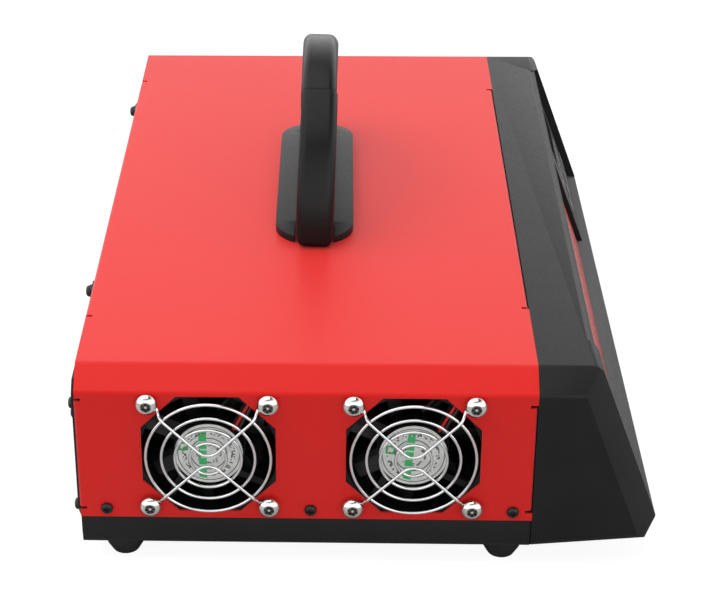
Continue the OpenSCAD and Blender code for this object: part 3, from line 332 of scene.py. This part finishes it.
copper = finish("enamelled_copper", (0.52, 0.19, 0.06), (0.68, 0.30, 0.11),
                0.3, 400, 2400, 0.1, 0.5, metallic=0.7, coat=0.5)
alloy = finish("heatsink_alloy", (0.55, 0.56, 0.57), (0.66, 0.67, 0.68),
               0.35, 120, 900, 0.02, 0.2, metallic=1.0)
print("finishes so far:", len(bpy.data.materials))

# %% [markdown]
# Wires, boards, sockets, lamps and buttons are small or hidden, and each gets the plain
# plastic, lacquer or glass of its kind. The display's window is dark and smooth, with a clear
# coat and no grain.

# %% Finishes of the small parts
wire_red = finish("lead_red", (0.62, 0.012, 0.012), (0.72, 0.018, 0.016),
                  0.4, 200, 1500, 0.02, 0.1)
wire_black = finish("lead_black", (0.010, 0.010, 0.010), (0.016, 0.016, 0.016),
                    0.4, 200, 1500, 0.02, 0.1)
header_white = finish("header_white", (0.70, 0.69, 0.64), (0.78, 0.77, 0.72),
                      0.45, 200, 1500, 0.02, 0.1)
board_green = finish("board_green", (0.012, 0.13, 0.045), (0.02, 0.18, 0.06),
                     0.32, 260, 900, 0.04, 0.3, coat=0.2)
ferrite = finish("ferrite", (0.035, 0.035, 0.038), (0.055, 0.055, 0.058),
                 0.6, 300, 2000, 0.06, 0.4)
socket_red = finish("socket_red", (0.50, 0.012, 0.012), (0.60, 0.018, 0.016),
                    0.33, 100, 1500, 0.02, 0.2)
lamp_clear = finish("lamp_lens", (0.42, 0.46, 0.42), (0.52, 0.56, 0.52),
                    0.15, 200, 900, 0.01, 0.1, coat=0.5)
button_grey = finish("button_grey", (0.085, 0.085, 0.09), (0.11, 0.11, 0.115),
                     0.4, 100, 1800, 0.03, 0.3)
window_dark = finish("display_window", (0.016, 0.020, 0.022), (0.022, 0.028, 0.030),
                     0.06, 20, 300, 0.0, 0.0, coat=1.0)
print("finishes so far:", len(bpy.data.materials))

# %% [markdown]
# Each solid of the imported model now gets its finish. Those that are redrawn further down are
# listed too, because their new pieces look their finish up here.

# %% Finish of every node
finishes = {
    "cover": paint_red, "base_tray": tray_black, "rear_panel": tray_black,
    "front_moulding": moulded, "fascia": fascia_red, "control_panel": moulded,
    "display_window": window_dark, "display_module": inner_black, "indicator_lamps": lamp_clear,
    "push_button_1": button_grey, "push_button_2": button_grey, "push_button_3": button_grey,
    "push_button_4": button_grey, "control_board": board_green, "board_screws": steel,
    "handle_grip": handle_black, "handle_leg_left": handle_black,
    "handle_leg_right": handle_black, "handle_plate": plate_black, "handle_screws": steel,
    "fan_frame_1": fan_black, "fan_frame_2": fan_black, "fan_wheel_1": fan_black,
    "fan_wheel_2": fan_black, "fan_coil_1": copper, "fan_coil_2": copper,
    "fan_guard_1": chrome, "fan_guard_2": chrome, "guard_screws": screw_chrome,
    "guard_nuts": steel, "red_leads": wire_red, "black_leads": wire_black,
    "lead_headers": header_white, "cover_screws": black_steel, "rear_screws": black_steel,
    "moulding_screws": steel, "foot_1": rubber, "foot_2": rubber, "foot_3": rubber,
    "foot_4": rubber, "foot_screws": steel, "mains_inlet": inner_black, "inlet_pins": brass,
    "switch_housing": inner_black, "power_switch": inner_black, "fuse_holder": inner_black,
    "output_socket_1": inner_black, "output_socket_2": socket_red, "output_contacts": brass,
    "main_board": board_green, "board_standoffs": brass, "heatsink_1": alloy,
    "heatsink_2": alloy, "power_transistors": inner_black, "transformer_core": ferrite,
    "transformer_winding": copper, "bulk_capacitors": inner_black, "chokes": copper,
}
for node, mat in finishes.items():
    put_on(frame["nodes"][node], mat)
print("finished nodes:", len(finishes))

# %% [markdown]
# The fans' labels are silver foil with faint printed rings, a broken upright green band and a
# small hollow green square. Nothing on them can be read: the marks are blocks of plain colour,
# worked out by small sums from the place on each label, in millimetres from its middle.

# %% Marks on the fan labels
foil_dark, foil_light = (0.80, 0.82, 0.80), (0.97, 0.98, 0.96)
print_grey, band_green, square_green = (0.14, 0.145, 0.14), (0.05, 0.60, 0.17), (0.05, 0.45, 0.12)
ring_lines = ((7.5, 0.5), (12.9, 0.4), (10.2, 1.7), (4.6, 1.5))  # radius and width
smudge_level, smudge_scale = 0.52, 900
band_half, band_end, row_pitch, row_half = 1.65, 12.0, 1.9, 1.6
square_half, line_half = 1.6, 0.45


def number(tree, operation, a, b=None, c=None):
    """A maths node on sockets or numbers."""
    node = tree.nodes.new("ShaderNodeMath")
    node.operation = operation
    for socket, value in zip(node.inputs, (a, b, c)):
        if isinstance(value, (int, float)):
            socket.default_value = value
        elif value is not None:
            tree.links.new(value, socket)
    return node.outputs[0]


def over(tree, mask, below, colour):
    """Lays a plain colour over another by a mask."""
    mix = tree.nodes.new("ShaderNodeMix")
    mix.data_type = "RGBA"
    tree.links.new(mask, mix.inputs["Factor"])
    tree.links.new(below, mix.inputs["A"])
    mix.inputs["B"].default_value = (*colour, 1)
    return mix.outputs["Result"]


def from_middle(tree, centre, tilt):
    """The place on a label in mm: x runs to the rear and y up, both turned with the label."""
    coords = tree.nodes.new("ShaderNodeTexCoord")
    place = tree.nodes.new("ShaderNodeMapping")
    place.vector_type = "TEXTURE"
    place.inputs["Location"].default_value = centre
    place.inputs["Rotation"].default_value = (math.radians(tilt), 0, 0)
    place.inputs["Scale"].default_value = (mm, mm, mm)
    split = tree.nodes.new("ShaderNodeSeparateXYZ")
    tree.links.new(coords.outputs["Object"], place.inputs["Vector"])
    tree.links.new(place.outputs["Vector"], split.inputs[0])
    return split.outputs["Y"], split.outputs["Z"]


print("marks:", len(ring_lines), "rings, a band and a square")

# %% [markdown]
# The rings come first, the two wide ones broken up by noise into grey smudges. The band is cut
# into blocks, and the square is the edge of a box round its own spot.


# %% Fan labels
def label_finish(name, centre, tilt, band_x, square_spot):
    """Foil with its rings, band and square."""
    mat, tree, shader = new_finish(name, 0.30, 0.0, 0.5, 0.3)
    x, y = from_middle(tree, centre, tilt)
    length = number(tree, "SQRT", number(tree, "ADD", number(tree, "MULTIPLY", x, x),
                                         number(tree, "MULTIPLY", y, y)))
    colour = ramp(tree, noise(tree, 260, 3), foil_dark, foil_light, 0.35, 0.6)
    for radius, width in ring_lines:
        ring = number(tree, "COMPARE", length, radius, width / 2)
        smudge = number(tree, "GREATER_THAN", noise(tree, smudge_scale, 1),
                        smudge_level if width > 1 else 0.0)
        colour = over(tree, number(tree, "MULTIPLY", ring, smudge), colour, print_grey)
    rows = number(tree, "LESS_THAN", number(tree, "PINGPONG", y, row_pitch), row_half)
    band = number(tree, "COMPARE", x, band_x, band_half)
    inside = number(tree, "LESS_THAN", length, band_end)
    band = number(tree, "MULTIPLY", number(tree, "MULTIPLY", band, rows), inside)
    colour = over(tree, band, colour, band_green)
    reach = number(tree, "MAXIMUM",
                   number(tree, "ABSOLUTE", number(tree, "SUBTRACT", x, square_spot[0])),
                   number(tree, "ABSOLUTE", number(tree, "SUBTRACT", y, square_spot[1])))
    edge = number(tree, "COMPARE", reach, square_half, line_half)
    tree.links.new(over(tree, edge, colour, square_green), shader.inputs["Base Color"])
    return mat


label_marks = {1: (0, 2.5, (10.5, 3.5)), 2: (4.8, 1.6, (9.7, 1.9))}  # tilt, band, square
for i, (tilt, band_x, square_spot) in label_marks.items():
    low, high = (Vector(v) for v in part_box("fan_label_%d" % i))
    put_on(frame["nodes"]["fan_label_%d" % i],
           label_finish("fan_label_foil_%d" % i, (low + high) / 2, tilt, band_x, square_spot))
print("labels:", len(label_marks))

# %% [markdown]
# The next pieces are drawn finer than the imported solids. Sizes are in millimetres in the bench
# frame: x across, y minus the depth from the rear edge, z up from the floor. The imported model
# has its middle at zero, so each finished piece is moved by the shift below, scaled to metres,
# and has that applied to its mesh. Then it is handed over: it gets its finish, moves with the
# body of the node that it stands for, and that node is hidden.

# %% Bench frame and hand-over
shift = Vector((1.675, 118.5475, 0))
half_w, case_d = 183.5, 190.5  # half the cover's width, and its depth
z_tray, z_cover = 10.1, 24.7  # the moulding's lower edge, and the cover's
z_bend, z_top = 85.7, 94.3  # the lower and the upper edge of the shoulder
behaviour = frame["record"]["behaviour"]
body_of = {node: body for body, nodes in behaviour["bodies"].items() for node in nodes}


def alone(piece):
    """Selects one object and makes it active."""
    bpy.ops.object.select_all(action="DESELECT")
    piece.select_set(True)
    bpy.context.view_layer.objects.active = piece


def edit(piece, *steps):
    """Runs edit-mode steps on the whole mesh of a piece."""
    alone(piece)
    bpy.ops.object.mode_set(mode="EDIT")
    bpy.ops.mesh.select_all(action="SELECT")
    for step in steps:
        step()
    bpy.ops.object.mode_set(mode="OBJECT")


def outward():
    """Turns all faces of the mesh in edit mode outwards."""
    bpy.ops.mesh.select_all(action="SELECT")
    bpy.ops.mesh.normals_make_consistent(inside=False)


def fix_place():
    """Applies the active object's place, turn and scale to its mesh."""
    bpy.ops.object.transform_apply(location=True, rotation=True, scale=True)


def settle(piece, matrix=Matrix()):
    """Moves a piece from its own sizes in mm to the part's frame."""
    alone(piece)
    in_metres = Matrix.Scale(mm, 4) @ Matrix.Translation(shift)
    piece.matrix_world = in_metres @ matrix @ piece.matrix_world
    fix_place()
    edit(piece, outward)


def join(pieces):
    """Makes one object of several."""
    alone(pieces[0])
    for piece in pieces:
        piece.select_set(True)
    bpy.ops.object.join()
    return bpy.context.object


def hand_over(piece, node, mat):
    """Gives a finished piece its material and body, and hides the CAD node that it stands for."""
    put_on(piece, mat)
    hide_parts(node)
    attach(piece, body_of[node])


print("bodies known:", len(set(body_of.values())))

# %% [markdown]
# A finger guard is four rings of bright wire, welded behind two wires that bend at the middle
# like a flat V and curl round a screw at each end. A curve with a round bevel makes the wire,
# because it keeps its thickness round every bend, and it is then turned into a mesh.

# %% Wire
fan_spots = [Vector((-half_w, -depth, 56.05)) for depth in (54.9, 140)]  # their middles
facing_left = Matrix(((0, 0, -1, 0), (-1, 0, 0, 0), (0, 1, 0, 0), (0, 0, 0, 1)))
at_fan = [Matrix.Translation(spot) @ facing_left for spot in fan_spots]
wire = 1.4  # its diameter
skin = 0.04  # how far the drawn wire stays inside the solid one
ring_rise, cross_rise = 3.0, 4.4  # the wires' middle lines over the cover
hole = 25.0  # half the distance between two screws


def wire_mesh(name, points, closed=False):
    """A round wire along a list of points."""
    data = bpy.data.curves.new(name, "CURVE")
    data.dimensions = "3D"
    data.bevel_depth = wire / 2 - skin
    data.bevel_resolution = 3
    data.use_fill_caps = True
    spline = data.splines.new("POLY")
    spline.points.add(len(points) - 1)
    for point, place in zip(spline.points, points):
        point.co = (*place, 1)
    spline.use_cyclic_u = closed
    piece = bpy.data.objects.new(name, data)
    bpy.context.scene.collection.objects.link(piece)
    alone(piece)
    bpy.ops.object.convert(target="MESH")
    return bpy.context.object


def fillet(points, reach):
    """Replaces each inner corner by a short curve."""
    done = [points[0]]
    for before, here, after in zip(points, points[1:], points[2:]):
        a = here + (before - here).normalized() * min(reach, (before - here).length / 2)
        b = here + (after - here).normalized() * min(reach, (after - here).length / 2)
        done += [a.lerp(here, t).lerp(here.lerp(b, t), t) for t in (0, 0.25, 0.5, 0.75, 1)]
    return done + [points[-1]]


print("guards at", [tuple(spot) for spot in fan_spots])

# %% [markdown]
# Half of the bent wire is laid out from its eyelet to the bend, and its mirror image follows.
# The eyelet lies flat on the cover, so the wire steps down to it between knee and ankle.

# %% Bent wires
eyelet, curl, curl_steps = 2.9, math.radians(285), 20
knee, ankle_reach, corner_reach = 19.4, 4.3, 2.2
bend_r, bend_angles = 6, range(315, 269, -9)


def v_wire(tip, flip):
    """One bent wire, whose bend stops tip mm short of the fan's middle."""
    first = math.radians(225) - math.acos(eyelet / ((hole - knee) * math.sqrt(2)))
    turns = [first - curl * i / curl_steps for i in range(curl_steps, -1, -1)]
    ring = [Vector((hole + eyelet * math.cos(a), hole + eyelet * math.sin(a), wire / 2))
            for a in turns]
    ankle = ring[-1] + ankle_reach * Vector((-math.sin(first), math.cos(first), 0))
    bend = [Vector((bend_r * math.cos(math.radians(a)),
                    tip + bend_r + bend_r * math.sin(math.radians(a)), cross_rise))
            for a in bend_angles]
    leg = fillet([ring[-1], ankle, Vector((knee, knee, cross_rise)), bend[0]], corner_reach)
    half = ring[:-1] + leg[1:] + bend[1:]
    path = half + [Vector((-p.x, p.y, p.z)) for p in half[-2::-1]]
    return wire_mesh("guard_wire", [(p.x, flip * p.y, p.z) for p in path])


print("a bend has", len(bend_angles), "points")

# %% [markdown]
# The rings are drawn as closed wires and joined with the two bent ones. The whole guard is
# then copied, with a mesh of its own, for the second fan.

# %% Finger guards
ring_points = 96
rings = []
for diameter in (15, 27.8, 39, 52):
    circle = [(diameter / 2 * math.cos(math.tau * k / ring_points),
               diameter / 2 * math.sin(math.tau * k / ring_points), ring_rise)
              for k in range(ring_points)]
    rings.append(wire_mesh("guard_ring", circle, True))
guard = join(rings + [v_wire(2.3, 1), v_wire(2.9, -1)])
guard.name = "wire_guard_1"
second = guard.copy()
second.data = guard.data.copy()
second.name = "wire_guard_2"
bpy.context.scene.collection.objects.link(second)
for i, piece in enumerate((guard, second)):
    settle(piece, at_fan[i])
    alone(piece)
    bpy.ops.object.shade_smooth()
    node = "fan_guard_%d" % (i + 1)
    hand_over(piece, node, finishes[node])
print("guard faces:", len(guard.data.polygons))

# %% [markdown]
# The guards' screws have a domed head with a six-lobed socket and a pin in it. One is grown
# from a disc by extruding and scaling its end face: shank, head and dome, then the socket's
# rim, which is pulled in between the lobes, the socket and the pin.

# %% One guard screw
shank_r, shank_end = 2.0, -30.2
dome = [(shank_r, 0), (4.6, 0), (4.6, 0.45), (4.45, 0.9), (4.15, 1.4), (3.7, 1.9), (3.15, 2.3),
        (2.75, 2.52), (2.5, 2.62), (2.25, 2.68)]  # radius and height over the guard
lobe_mean, lobe_swing, lobes = 0.80, 0.20, 6
rim_drop, socket_depth = 0.02, 1.6


def push(height):
    """Extrudes the selected face along the screw."""
    bpy.ops.mesh.extrude_region_move(TRANSFORM_OT_translate={"value": (0, 0, height)})


def grow(before, after):
    """Extrudes the end face from one (radius, height) to the next."""
    push(after[1] - before[1])
    factor = after[0] / before[0]
    bpy.ops.transform.resize(value=(factor, factor, 1))


bpy.ops.mesh.primitive_circle_add(vertices=48, radius=shank_r, fill_type="NGON",
                                  location=(0, 0, shank_end))
screw = bpy.context.object
bpy.ops.object.transform_apply(location=True)
bpy.ops.object.mode_set(mode="EDIT")
bpy.ops.mesh.select_all(action="SELECT")
for before, after in zip([(shank_r, shank_end)] + dome, dome):
    grow(before, after)
push(-rim_drop)
bpy.ops.object.mode_set(mode="OBJECT")
for vertex in [v for v in screw.data.vertices if v.select]:
    turn = math.atan2(vertex.co.y, vertex.co.x)
    lobe = lobe_mean + lobe_swing * math.cos(lobes * turn)
    vertex.co.x *= lobe
    vertex.co.y *= lobe
bpy.ops.object.mode_set(mode="EDIT")
push(-socket_depth)
grow((2.0, 0), (0.75, 0))
grow((0.7, 0), (0.6, 1.4))
bpy.ops.object.mode_set(mode="OBJECT")
print("one screw:", len(screw.data.polygons), "faces")

# %% [markdown]
# The eight copies are turned differently, as screws stop where they will. The faces inside the
# sockets get a darker metal, because little light reaches them.


# %% Guard screws
def soften(piece, width, segments, angle):
    """Rounds edges sharper than an angle, with a width in mm, and shades the rest smooth."""
    alone(piece)
    step = piece.modifiers.new("soften", "BEVEL")
    step.width = width * mm
    step.segments = segments
    step.limit_method = "ANGLE"
    step.angle_limit = math.radians(angle)
    bpy.ops.object.modifier_apply(modifier=step.name)
    bpy.ops.object.shade_smooth_by_angle(angle=math.radians(angle))


pin_r, socket_r, head_h = 0.75, 2.3, 2.71
corners = ((-1, -1), (-1, 1), (1, -1), (1, 1))
screws = []
for fan, turns in zip(at_fan, ((8, 31, 47, 20), (40, 14, 27, 55))):
    for (x, y), turn in zip(corners, turns):
        piece = screw.copy()
        piece.data = screw.data.copy()
        bpy.context.scene.collection.objects.link(piece)
        settle(piece, fan @ Matrix.Translation((x * hole, y * hole, wire)) @
               Matrix.Rotation(math.radians(turn), 4, "Z"))
        screws.append(piece)
bpy.data.objects.remove(screw)
screws = join(screws)
screws.name = "socket_screws"
soften(screws, 0.08, 1, 35)
hand_over(screws, "guard_screws", finishes["guard_screws"])
screws.data.materials.append(socket_shade)
for face in screws.data.polygons:
    spot = face.center / mm - shift
    off = min(math.hypot(spot.y - fan.y - x * hole, spot.z - fan.z - y * hole)
              for fan in fan_spots for x, y in corners)
    if pin_r < off < socket_r and -half_w - wire - head_h < spot.x < -half_w:
        face.material_index = 1
print("screw faces:", len(screws.data.polygons))

# %% [markdown]
# The front moulding and the rounded ends of other pieces are cut from prisms: a flat outline
# with an arc at each corner, extruded through the case. Two prisms are then joined, cut or
# intersected by a boolean.

# %% Outlines, prisms and booleans
arc_steps = 8


def rounded(points, radii):
    """An outline with an arc of its own radius at each corner."""
    done = []
    for i, (point, radius) in enumerate(zip(points, radii)):
        here = Vector(point)
        if radius <= 0:
            done.append(tuple(here))
            continue
        a = (Vector(points[i - 1]) - here).normalized()
        b = (Vector(points[(i + 1) % len(points)]) - here).normalized()
        half = a.angle(b) / 2
        centre = here + (a + b).normalized() * (radius / math.sin(half))
        start = here + a * (radius / math.tan(half)) - centre
        end = here + b * (radius / math.tan(half)) - centre
        for k in range(arc_steps + 1):
            done.append(tuple(centre + radius * start.slerp(end, k / arc_steps).normalized()))
    return done


def prism(name, points, length, matrix):
    """A solid made from a flat outline, placed by a matrix and extruded along its own z."""
    bpy.ops.mesh.primitive_circle_add(vertices=len(points), radius=1, fill_type="NGON",
                                      location=(0, 0, 0))
    piece = bpy.context.object
    piece.name = name
    for vertex, point in zip(piece.data.vertices, points):
        vertex.co = (point[0], point[1], 0)
    edit(piece, lambda: push(length), outward)
    piece.matrix_world = matrix
    fix_place()
    edit(piece, outward)
    return piece


def combine(piece, tool, operation):
    """A boolean between two solids, which uses up the second."""
    alone(piece)
    step = piece.modifiers.new("combine", "BOOLEAN")
    step.object = tool
    step.operation = operation
    step.solver = "EXACT"
    bpy.ops.object.modifier_apply(modifier=step.name)
    bpy.data.objects.remove(tool)


def across(x0):
    """Outline in (y, z), extruded along x."""
    return Matrix(((0, 0, 1, x0), (1, 0, 0, 0), (0, 1, 0, 0), (0, 0, 0, 1)))


def deep(y0):
    """Outline in (x, z), extruded along -y."""
    return Matrix(((1, 0, 0, 0), (0, 0, -1, y0), (0, 1, 0, 0), (0, 0, 0, 1)))


print("a rounded corner has", arc_steps + 1, "points")

# %% [markdown]
# The moulded front leans back. In the side view a red fascia lies in its recess, a rim stands
# round it, a shelf slopes down from the fascia's foot to the nose, and a hood closes the top.
# The helpers give points of that view, n millimetres in front of the fascia, and the outline
# of the front view, t millimetres inside the outer skin.

# %% Moulding: measures
fold_d = 236  # depth at which the fascia's face meets the cover's lower edge
rake = math.radians(20.7)
recess = 6.4  # from the fascia's face to the rim
wall, fascia_t = 2.5, 1.2
hood_h = 63  # underside of the hood over the cover's lower edge
shelf_rate = math.tan(math.radians(23.6))
recess_half = half_w - 12.5
shoulder_w, slope_rate, bend_rate = 10.3, 0.45, 0.4
nose_back, nose_drop = 6.1, 10.2
low_corner_r, tall = 5, 120  # radius of the underside's long edges, and well over the top


def foot(n):
    """Where a face n mm in front of the fascia meets the shelf."""
    reach = n / math.cos(rake) / (1 - math.tan(rake) * shelf_rate)
    return (-(fold_d + reach), z_cover - shelf_rate * reach)


def head(n):
    """Where a face n mm in front of the fascia meets the hood's underside."""
    return (-(fold_d - math.tan(rake) * hood_h + n / math.cos(rake)), z_cover + hood_h)


def rim_d(z):
    """How deep the rim stands at a height."""
    return fold_d + recess / math.cos(rake) - math.tan(rake) * (z - z_cover)


def front_outline(low, t, r):
    """The front view: upright sides, sloping shoulders and a flat top."""
    side, top, bend = half_w - t, z_top - t, z_bend - t * bend_rate
    slope = side - shoulder_w + t * slope_rate
    return rounded([(side, low), (side, bend), (slope, top), (-slope, top), (-side, bend),
                    (-side, low)], [0, r, r, r, r, 0])


nose_d, nose_z = -foot(recess)[0] - nose_back, z_cover - nose_drop


def underside(t):
    """A body with round lower edges, whose underside rises from the tray to the nose."""
    side, r = half_w - t, low_corner_r - t
    tilt = -math.atan((nose_z - z_tray) / (nose_d - case_d))
    view = rounded([(-side, 0), (side, 0), (side, tall), (-side, tall)], [r, r, 0, 0])
    rising = Matrix.Translation((0, -case_d, z_tray + t)) @ Matrix.Rotation(tilt, 4, "X")
    return prism("underside", view, fold_d, rising @ deep(10))


print("nose at depth %.1f, height %.1f mm" % (nose_d, nose_z))

# %% [markdown]
# The outer form is what three prisms have in common: the side view with its raked rim, the
# front view, and the rounded underside. They reach some millimetres past each other, so that
# no two faces coincide. A slanting plane then cuts each front corner off, from the shoulder
# down to the nose, beside the rim.

# %% Moulding: outer form
cut_w, cut_d = 10.3, 10
nose_r, lip_r, brow_r, shoulder_r = 2, 0.8, 4.5, 2.5
side_view = rounded([(-case_d, z_tray), (-nose_d, nose_z), foot(recess), (-rim_d(z_top), z_top),
                     (-case_d, z_top)], [0, nose_r, lip_r, brow_r, 0])
moulding = prism("front_shell", side_view, 2 * half_w, across(-half_w))
front_view = front_outline(z_tray - 10, 0, shoulder_r)
combine(moulding, prism("front_view", front_view, fold_d, deep(-case_d + 1)), "INTERSECT")
combine(moulding, underside(0), "INTERSECT")
for side in (-1, 1):
    cut_at = (side * half_w, cut_d - rim_d(z_cover), z_cover)
    cut_to = Vector((side * cut_d, -cut_w, cut_w * math.tan(rake))).normalized()
    edit(moulding, lambda: bpy.ops.mesh.bisect(plane_co=cut_at, plane_no=cut_to, use_fill=True,
                                               clear_outer=True), outward)
print("outer form:", len(moulding.data.polygons), "faces")

# %% [markdown]
# The moulding is a shell that is open to the case. The same three views, drawn one wall
# further in, make the space that is cut out of it.

# %% Moulding: hollow inside
shelf_y, shelf_z = foot(-fascia_t - wall)
hood_y = head(-fascia_t - wall)[0] + 1
space = prism("space", [(1 - case_d, z_tray + wall), (-(nose_d - wall), nose_z + wall),
                        (shelf_y, shelf_z - wall), (hood_y, z_top - wall),
                        (1 - case_d, z_top - wall)], 2 * half_w, across(-half_w))
inner_view = front_outline(z_tray - 10, wall, 2 * shoulder_r)
combine(space, prism("front_view", inner_view, fold_d, deep(5 - case_d)), "INTERSECT")
combine(space, underside(wall), "INTERSECT")
combine(moulding, space, "DIFFERENCE")
print("hollow form:", len(moulding.data.polygons), "faces")

# %% [markdown]
# The recess holds the fascia between two wings. Its outline is a prism too, cut to the view
# from the front, whose upper corners slant away over the hood.

# %% Moulding: recess
recess_r, brow_w = 3, 22
recess_view = rounded([(-recess_half, z_tray - 20), (recess_half, z_tray - 20),
                       (recess_half, z_cover + hood_h), (recess_half - brow_w, z_top + 1),
                       (brow_w - recess_half, z_top + 1), (-recess_half, z_cover + hood_h)],
                      [0, 0, recess_r, 0, 0, recess_r])
room = prism("recess", [foot(-fascia_t), foot(30), head(30), head(-fascia_t)],
             2 * recess_half, across(-recess_half))
combine(room, prism("recess_view", recess_view, 2 * fold_d, deep(0)), "INTERSECT")
combine(moulding, room, "DIFFERENCE")
print("with recess:", len(moulding.data.polygons), "faces")

# %% [markdown]
# Over the recess, the hood's front edge is set back between the wings and rounded, so what
# stands in front of that edge is cut away.

# %% Moulding: hood
hood_r, hood_steps = 4, 10
hood_d = rim_d(z_top) - 0.3
hood_low = z_cover + hood_h - 0.1
arc = [k * math.pi / (2 * hood_steps) for k in range(hood_steps + 1)]
hood_edge = [(hood_r - hood_d - hood_r * math.cos(a), z_top - hood_r + hood_r * math.sin(a))
             for a in arc]
hood = prism("hood_room", [(-2 * fold_d, hood_low), (-hood_d, hood_low), *hood_edge,
                           (hood_r - hood_d, z_top + 5), (-2 * fold_d, z_top + 5)],
             2 * recess_half, across(-recess_half))
combine(hood, prism("recess_view", recess_view, 2 * fold_d, deep(0)), "INTERSECT")
combine(moulding, hood, "DIFFERENCE")
print("with hood:", len(moulding.data.polygons), "faces")

# %% [markdown]
# Last comes the opening for the control panel's board, square to the fascia. The bosses and
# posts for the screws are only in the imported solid, because the case hides them. The finished
# shell has its edges rounded and takes the solid's place.

# %% Moulding: panel opening and finish
on_fascia = (Matrix.Translation((0, -fold_d, z_cover)) @
             Matrix.Rotation(math.pi / 2 - rake, 4, "X"))
panel_left, window_half, window_low, window_high = 84, 36, 6, 60
panel_mid = (panel_left + recess_half) / 2
left, far = panel_mid - window_half, panel_mid + window_half
window = prism("panel_window", [(left, window_low), (far, window_low), (far, window_high),
                                (left, window_high)], wall + fascia_t + 2,
               on_fascia @ Matrix.Translation((0, 0, -wall - fascia_t - 1)))
combine(moulding, window, "DIFFERENCE")
settle(moulding)
moulding.name = "front_shell"
soften(moulding, 1.5, 4, 28)
hand_over(moulding, "front_moulding", finishes["front_moulding"])

# %% [markdown]
# The handle, its plate, the tray, the feet and the fans' frames start from their solids, but a
# real moulding, pressing or foot has no sharp edge. A copy of each is merged into one closed
# skin, flat areas are dissolved, and its edges are softened.


# %% Softened copies
def dress(node, width, segments=2, angle=30, steps=(), moulds=()):
    """A copy of a CAD node with closed seams and soft edges, which takes the node's place."""
    source = frame["nodes"][node]
    piece = source.copy()
    piece.data = source.data.copy()
    piece.name = node + "_soft"
    bpy.context.scene.collection.objects.link(piece)
    place = source.matrix_world.copy()
    piece.parent = None
    piece.matrix_world = place
    alone(piece)
    fix_place()
    edit(piece, lambda: bpy.ops.mesh.remove_doubles(threshold=0.004 * mm),
         lambda: bpy.ops.mesh.dissolve_limited(angle_limit=math.radians(1)), outward, *steps)
    for mould in moulds:
        combine(piece, mould, "INTERSECT")
    soften(piece, width, segments, angle)
    hand_over(piece, node, finishes[node])
    return piece


print("ready to soften copies")

# %% [markdown]
# The photograph's handle is a little narrower than the solid and leans further to the front,
# and its legs end in roundings. Its copies are squeezed and leaned about the handle's foot, and
# each leg is intersected with two prisms that round its lower end.

# %% Handle
handle_x, handle_d, handle_r = 2.3, 97, 71
solid_lean, more_lean, narrower = 2.2, 0.5, 0.965
leg_half, leg_low, leg_room = 9, -0.3, 16.5
end_r, outer_r = 7.5, 4.5
foot_spot = Vector((handle_x, -handle_d, z_top))
handle_foot = (foot_spot + shift) * mm
to_photo = (lambda: bpy.ops.transform.resize(value=(1, narrower, 1), center_override=handle_foot),
            lambda: bpy.ops.transform.rotate(value=math.radians(more_lean), orient_axis="X",
                                             center_override=handle_foot))
leaned = (Matrix.Translation(foot_spot) @
          Matrix.Rotation(math.radians(solid_lean + more_lean), 4, "X"))


def leg_moulds(side):
    """Solids that round a leg's lower end to the front, the rear and outward."""
    high, out = 2 * handle_r, handle_r + 0.3
    end_view = rounded([(-leg_half, leg_low), (leg_half, leg_low), (leg_half, high),
                        (-leg_half, high)], [end_r, end_r, 0, 0])
    outer_view = rounded([(0, leg_low), (out, leg_low), (out, high), (0, high)],
                         [0, outer_r, 0, 0])
    end = prism("leg_end", end_view, 2 * high, leaned @ across(-high))
    outer = prism("leg_outer", outer_view, 2 * leg_room,
                  leaned @ Matrix.Scale(side, 4, (1, 0, 0)) @ deep(leg_room))
    for mould in (end, outer):
        settle(mould)
    return end, outer


dress("handle_grip", 0.7, 3, 35, to_photo)
for node, side in (("handle_leg_left", -1), ("handle_leg_right", 1)):
    piece = dress(node, 0.7, 3, 35, to_photo, leg_moulds(side))
    print(node, len(piece.data.polygons), "faces")
dress("handle_plate", 0.8, 3, 35)

# %% [markdown]
# The tray's long lower edges are bent to about 3 mm, tighter than in the solid. A strip of
# sheet with that bend is joined on along each side.

# %% Tray
low, high = (Vector(v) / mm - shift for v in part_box("base_tray"))
strip_low, strip_in, strip_top, strip_w = 10.15, 11.3, 18.5, 9
sheet, bend_outer, bend_inner = 1.1, 3, 1.9
tray = dress("base_tray", 0.1, 1)
for side in (-1, 1):
    strip = rounded([(low.x, strip_top), (low.x, strip_low), (low.x + strip_w, strip_low),
                     (low.x + strip_w, strip_in), (low.x + sheet, strip_in),
                     (low.x + sheet, strip_top)], [0, bend_outer, 0, 0, bend_inner, 0])
    corner = prism("tray_corner", strip, high.y - low.y - 0.2,
                   Matrix.Scale(-side, 4, (1, 0, 0)) @ deep(high.y - 0.1))
    settle(corner)
    combine(tray, corner, "UNION")
alone(tray)
bpy.ops.object.shade_smooth_by_angle(angle=math.radians(30))
print("tray faces:", len(tray.data.polygons))

# %% [markdown]
# The rubber feet have well rounded edges, and the fans' moulded frames barely softened ones.

# %% Feet and fan frames
feet = [dress("foot_%d" % (i + 1), 0.8, 3) for i in range(4)]
fan_frames = [dress("fan_frame_%d" % i, 0.2, 1) for i in (1, 2)]
print("softened:", len(feet), "feet and", len(fan_frames), "fan frames")
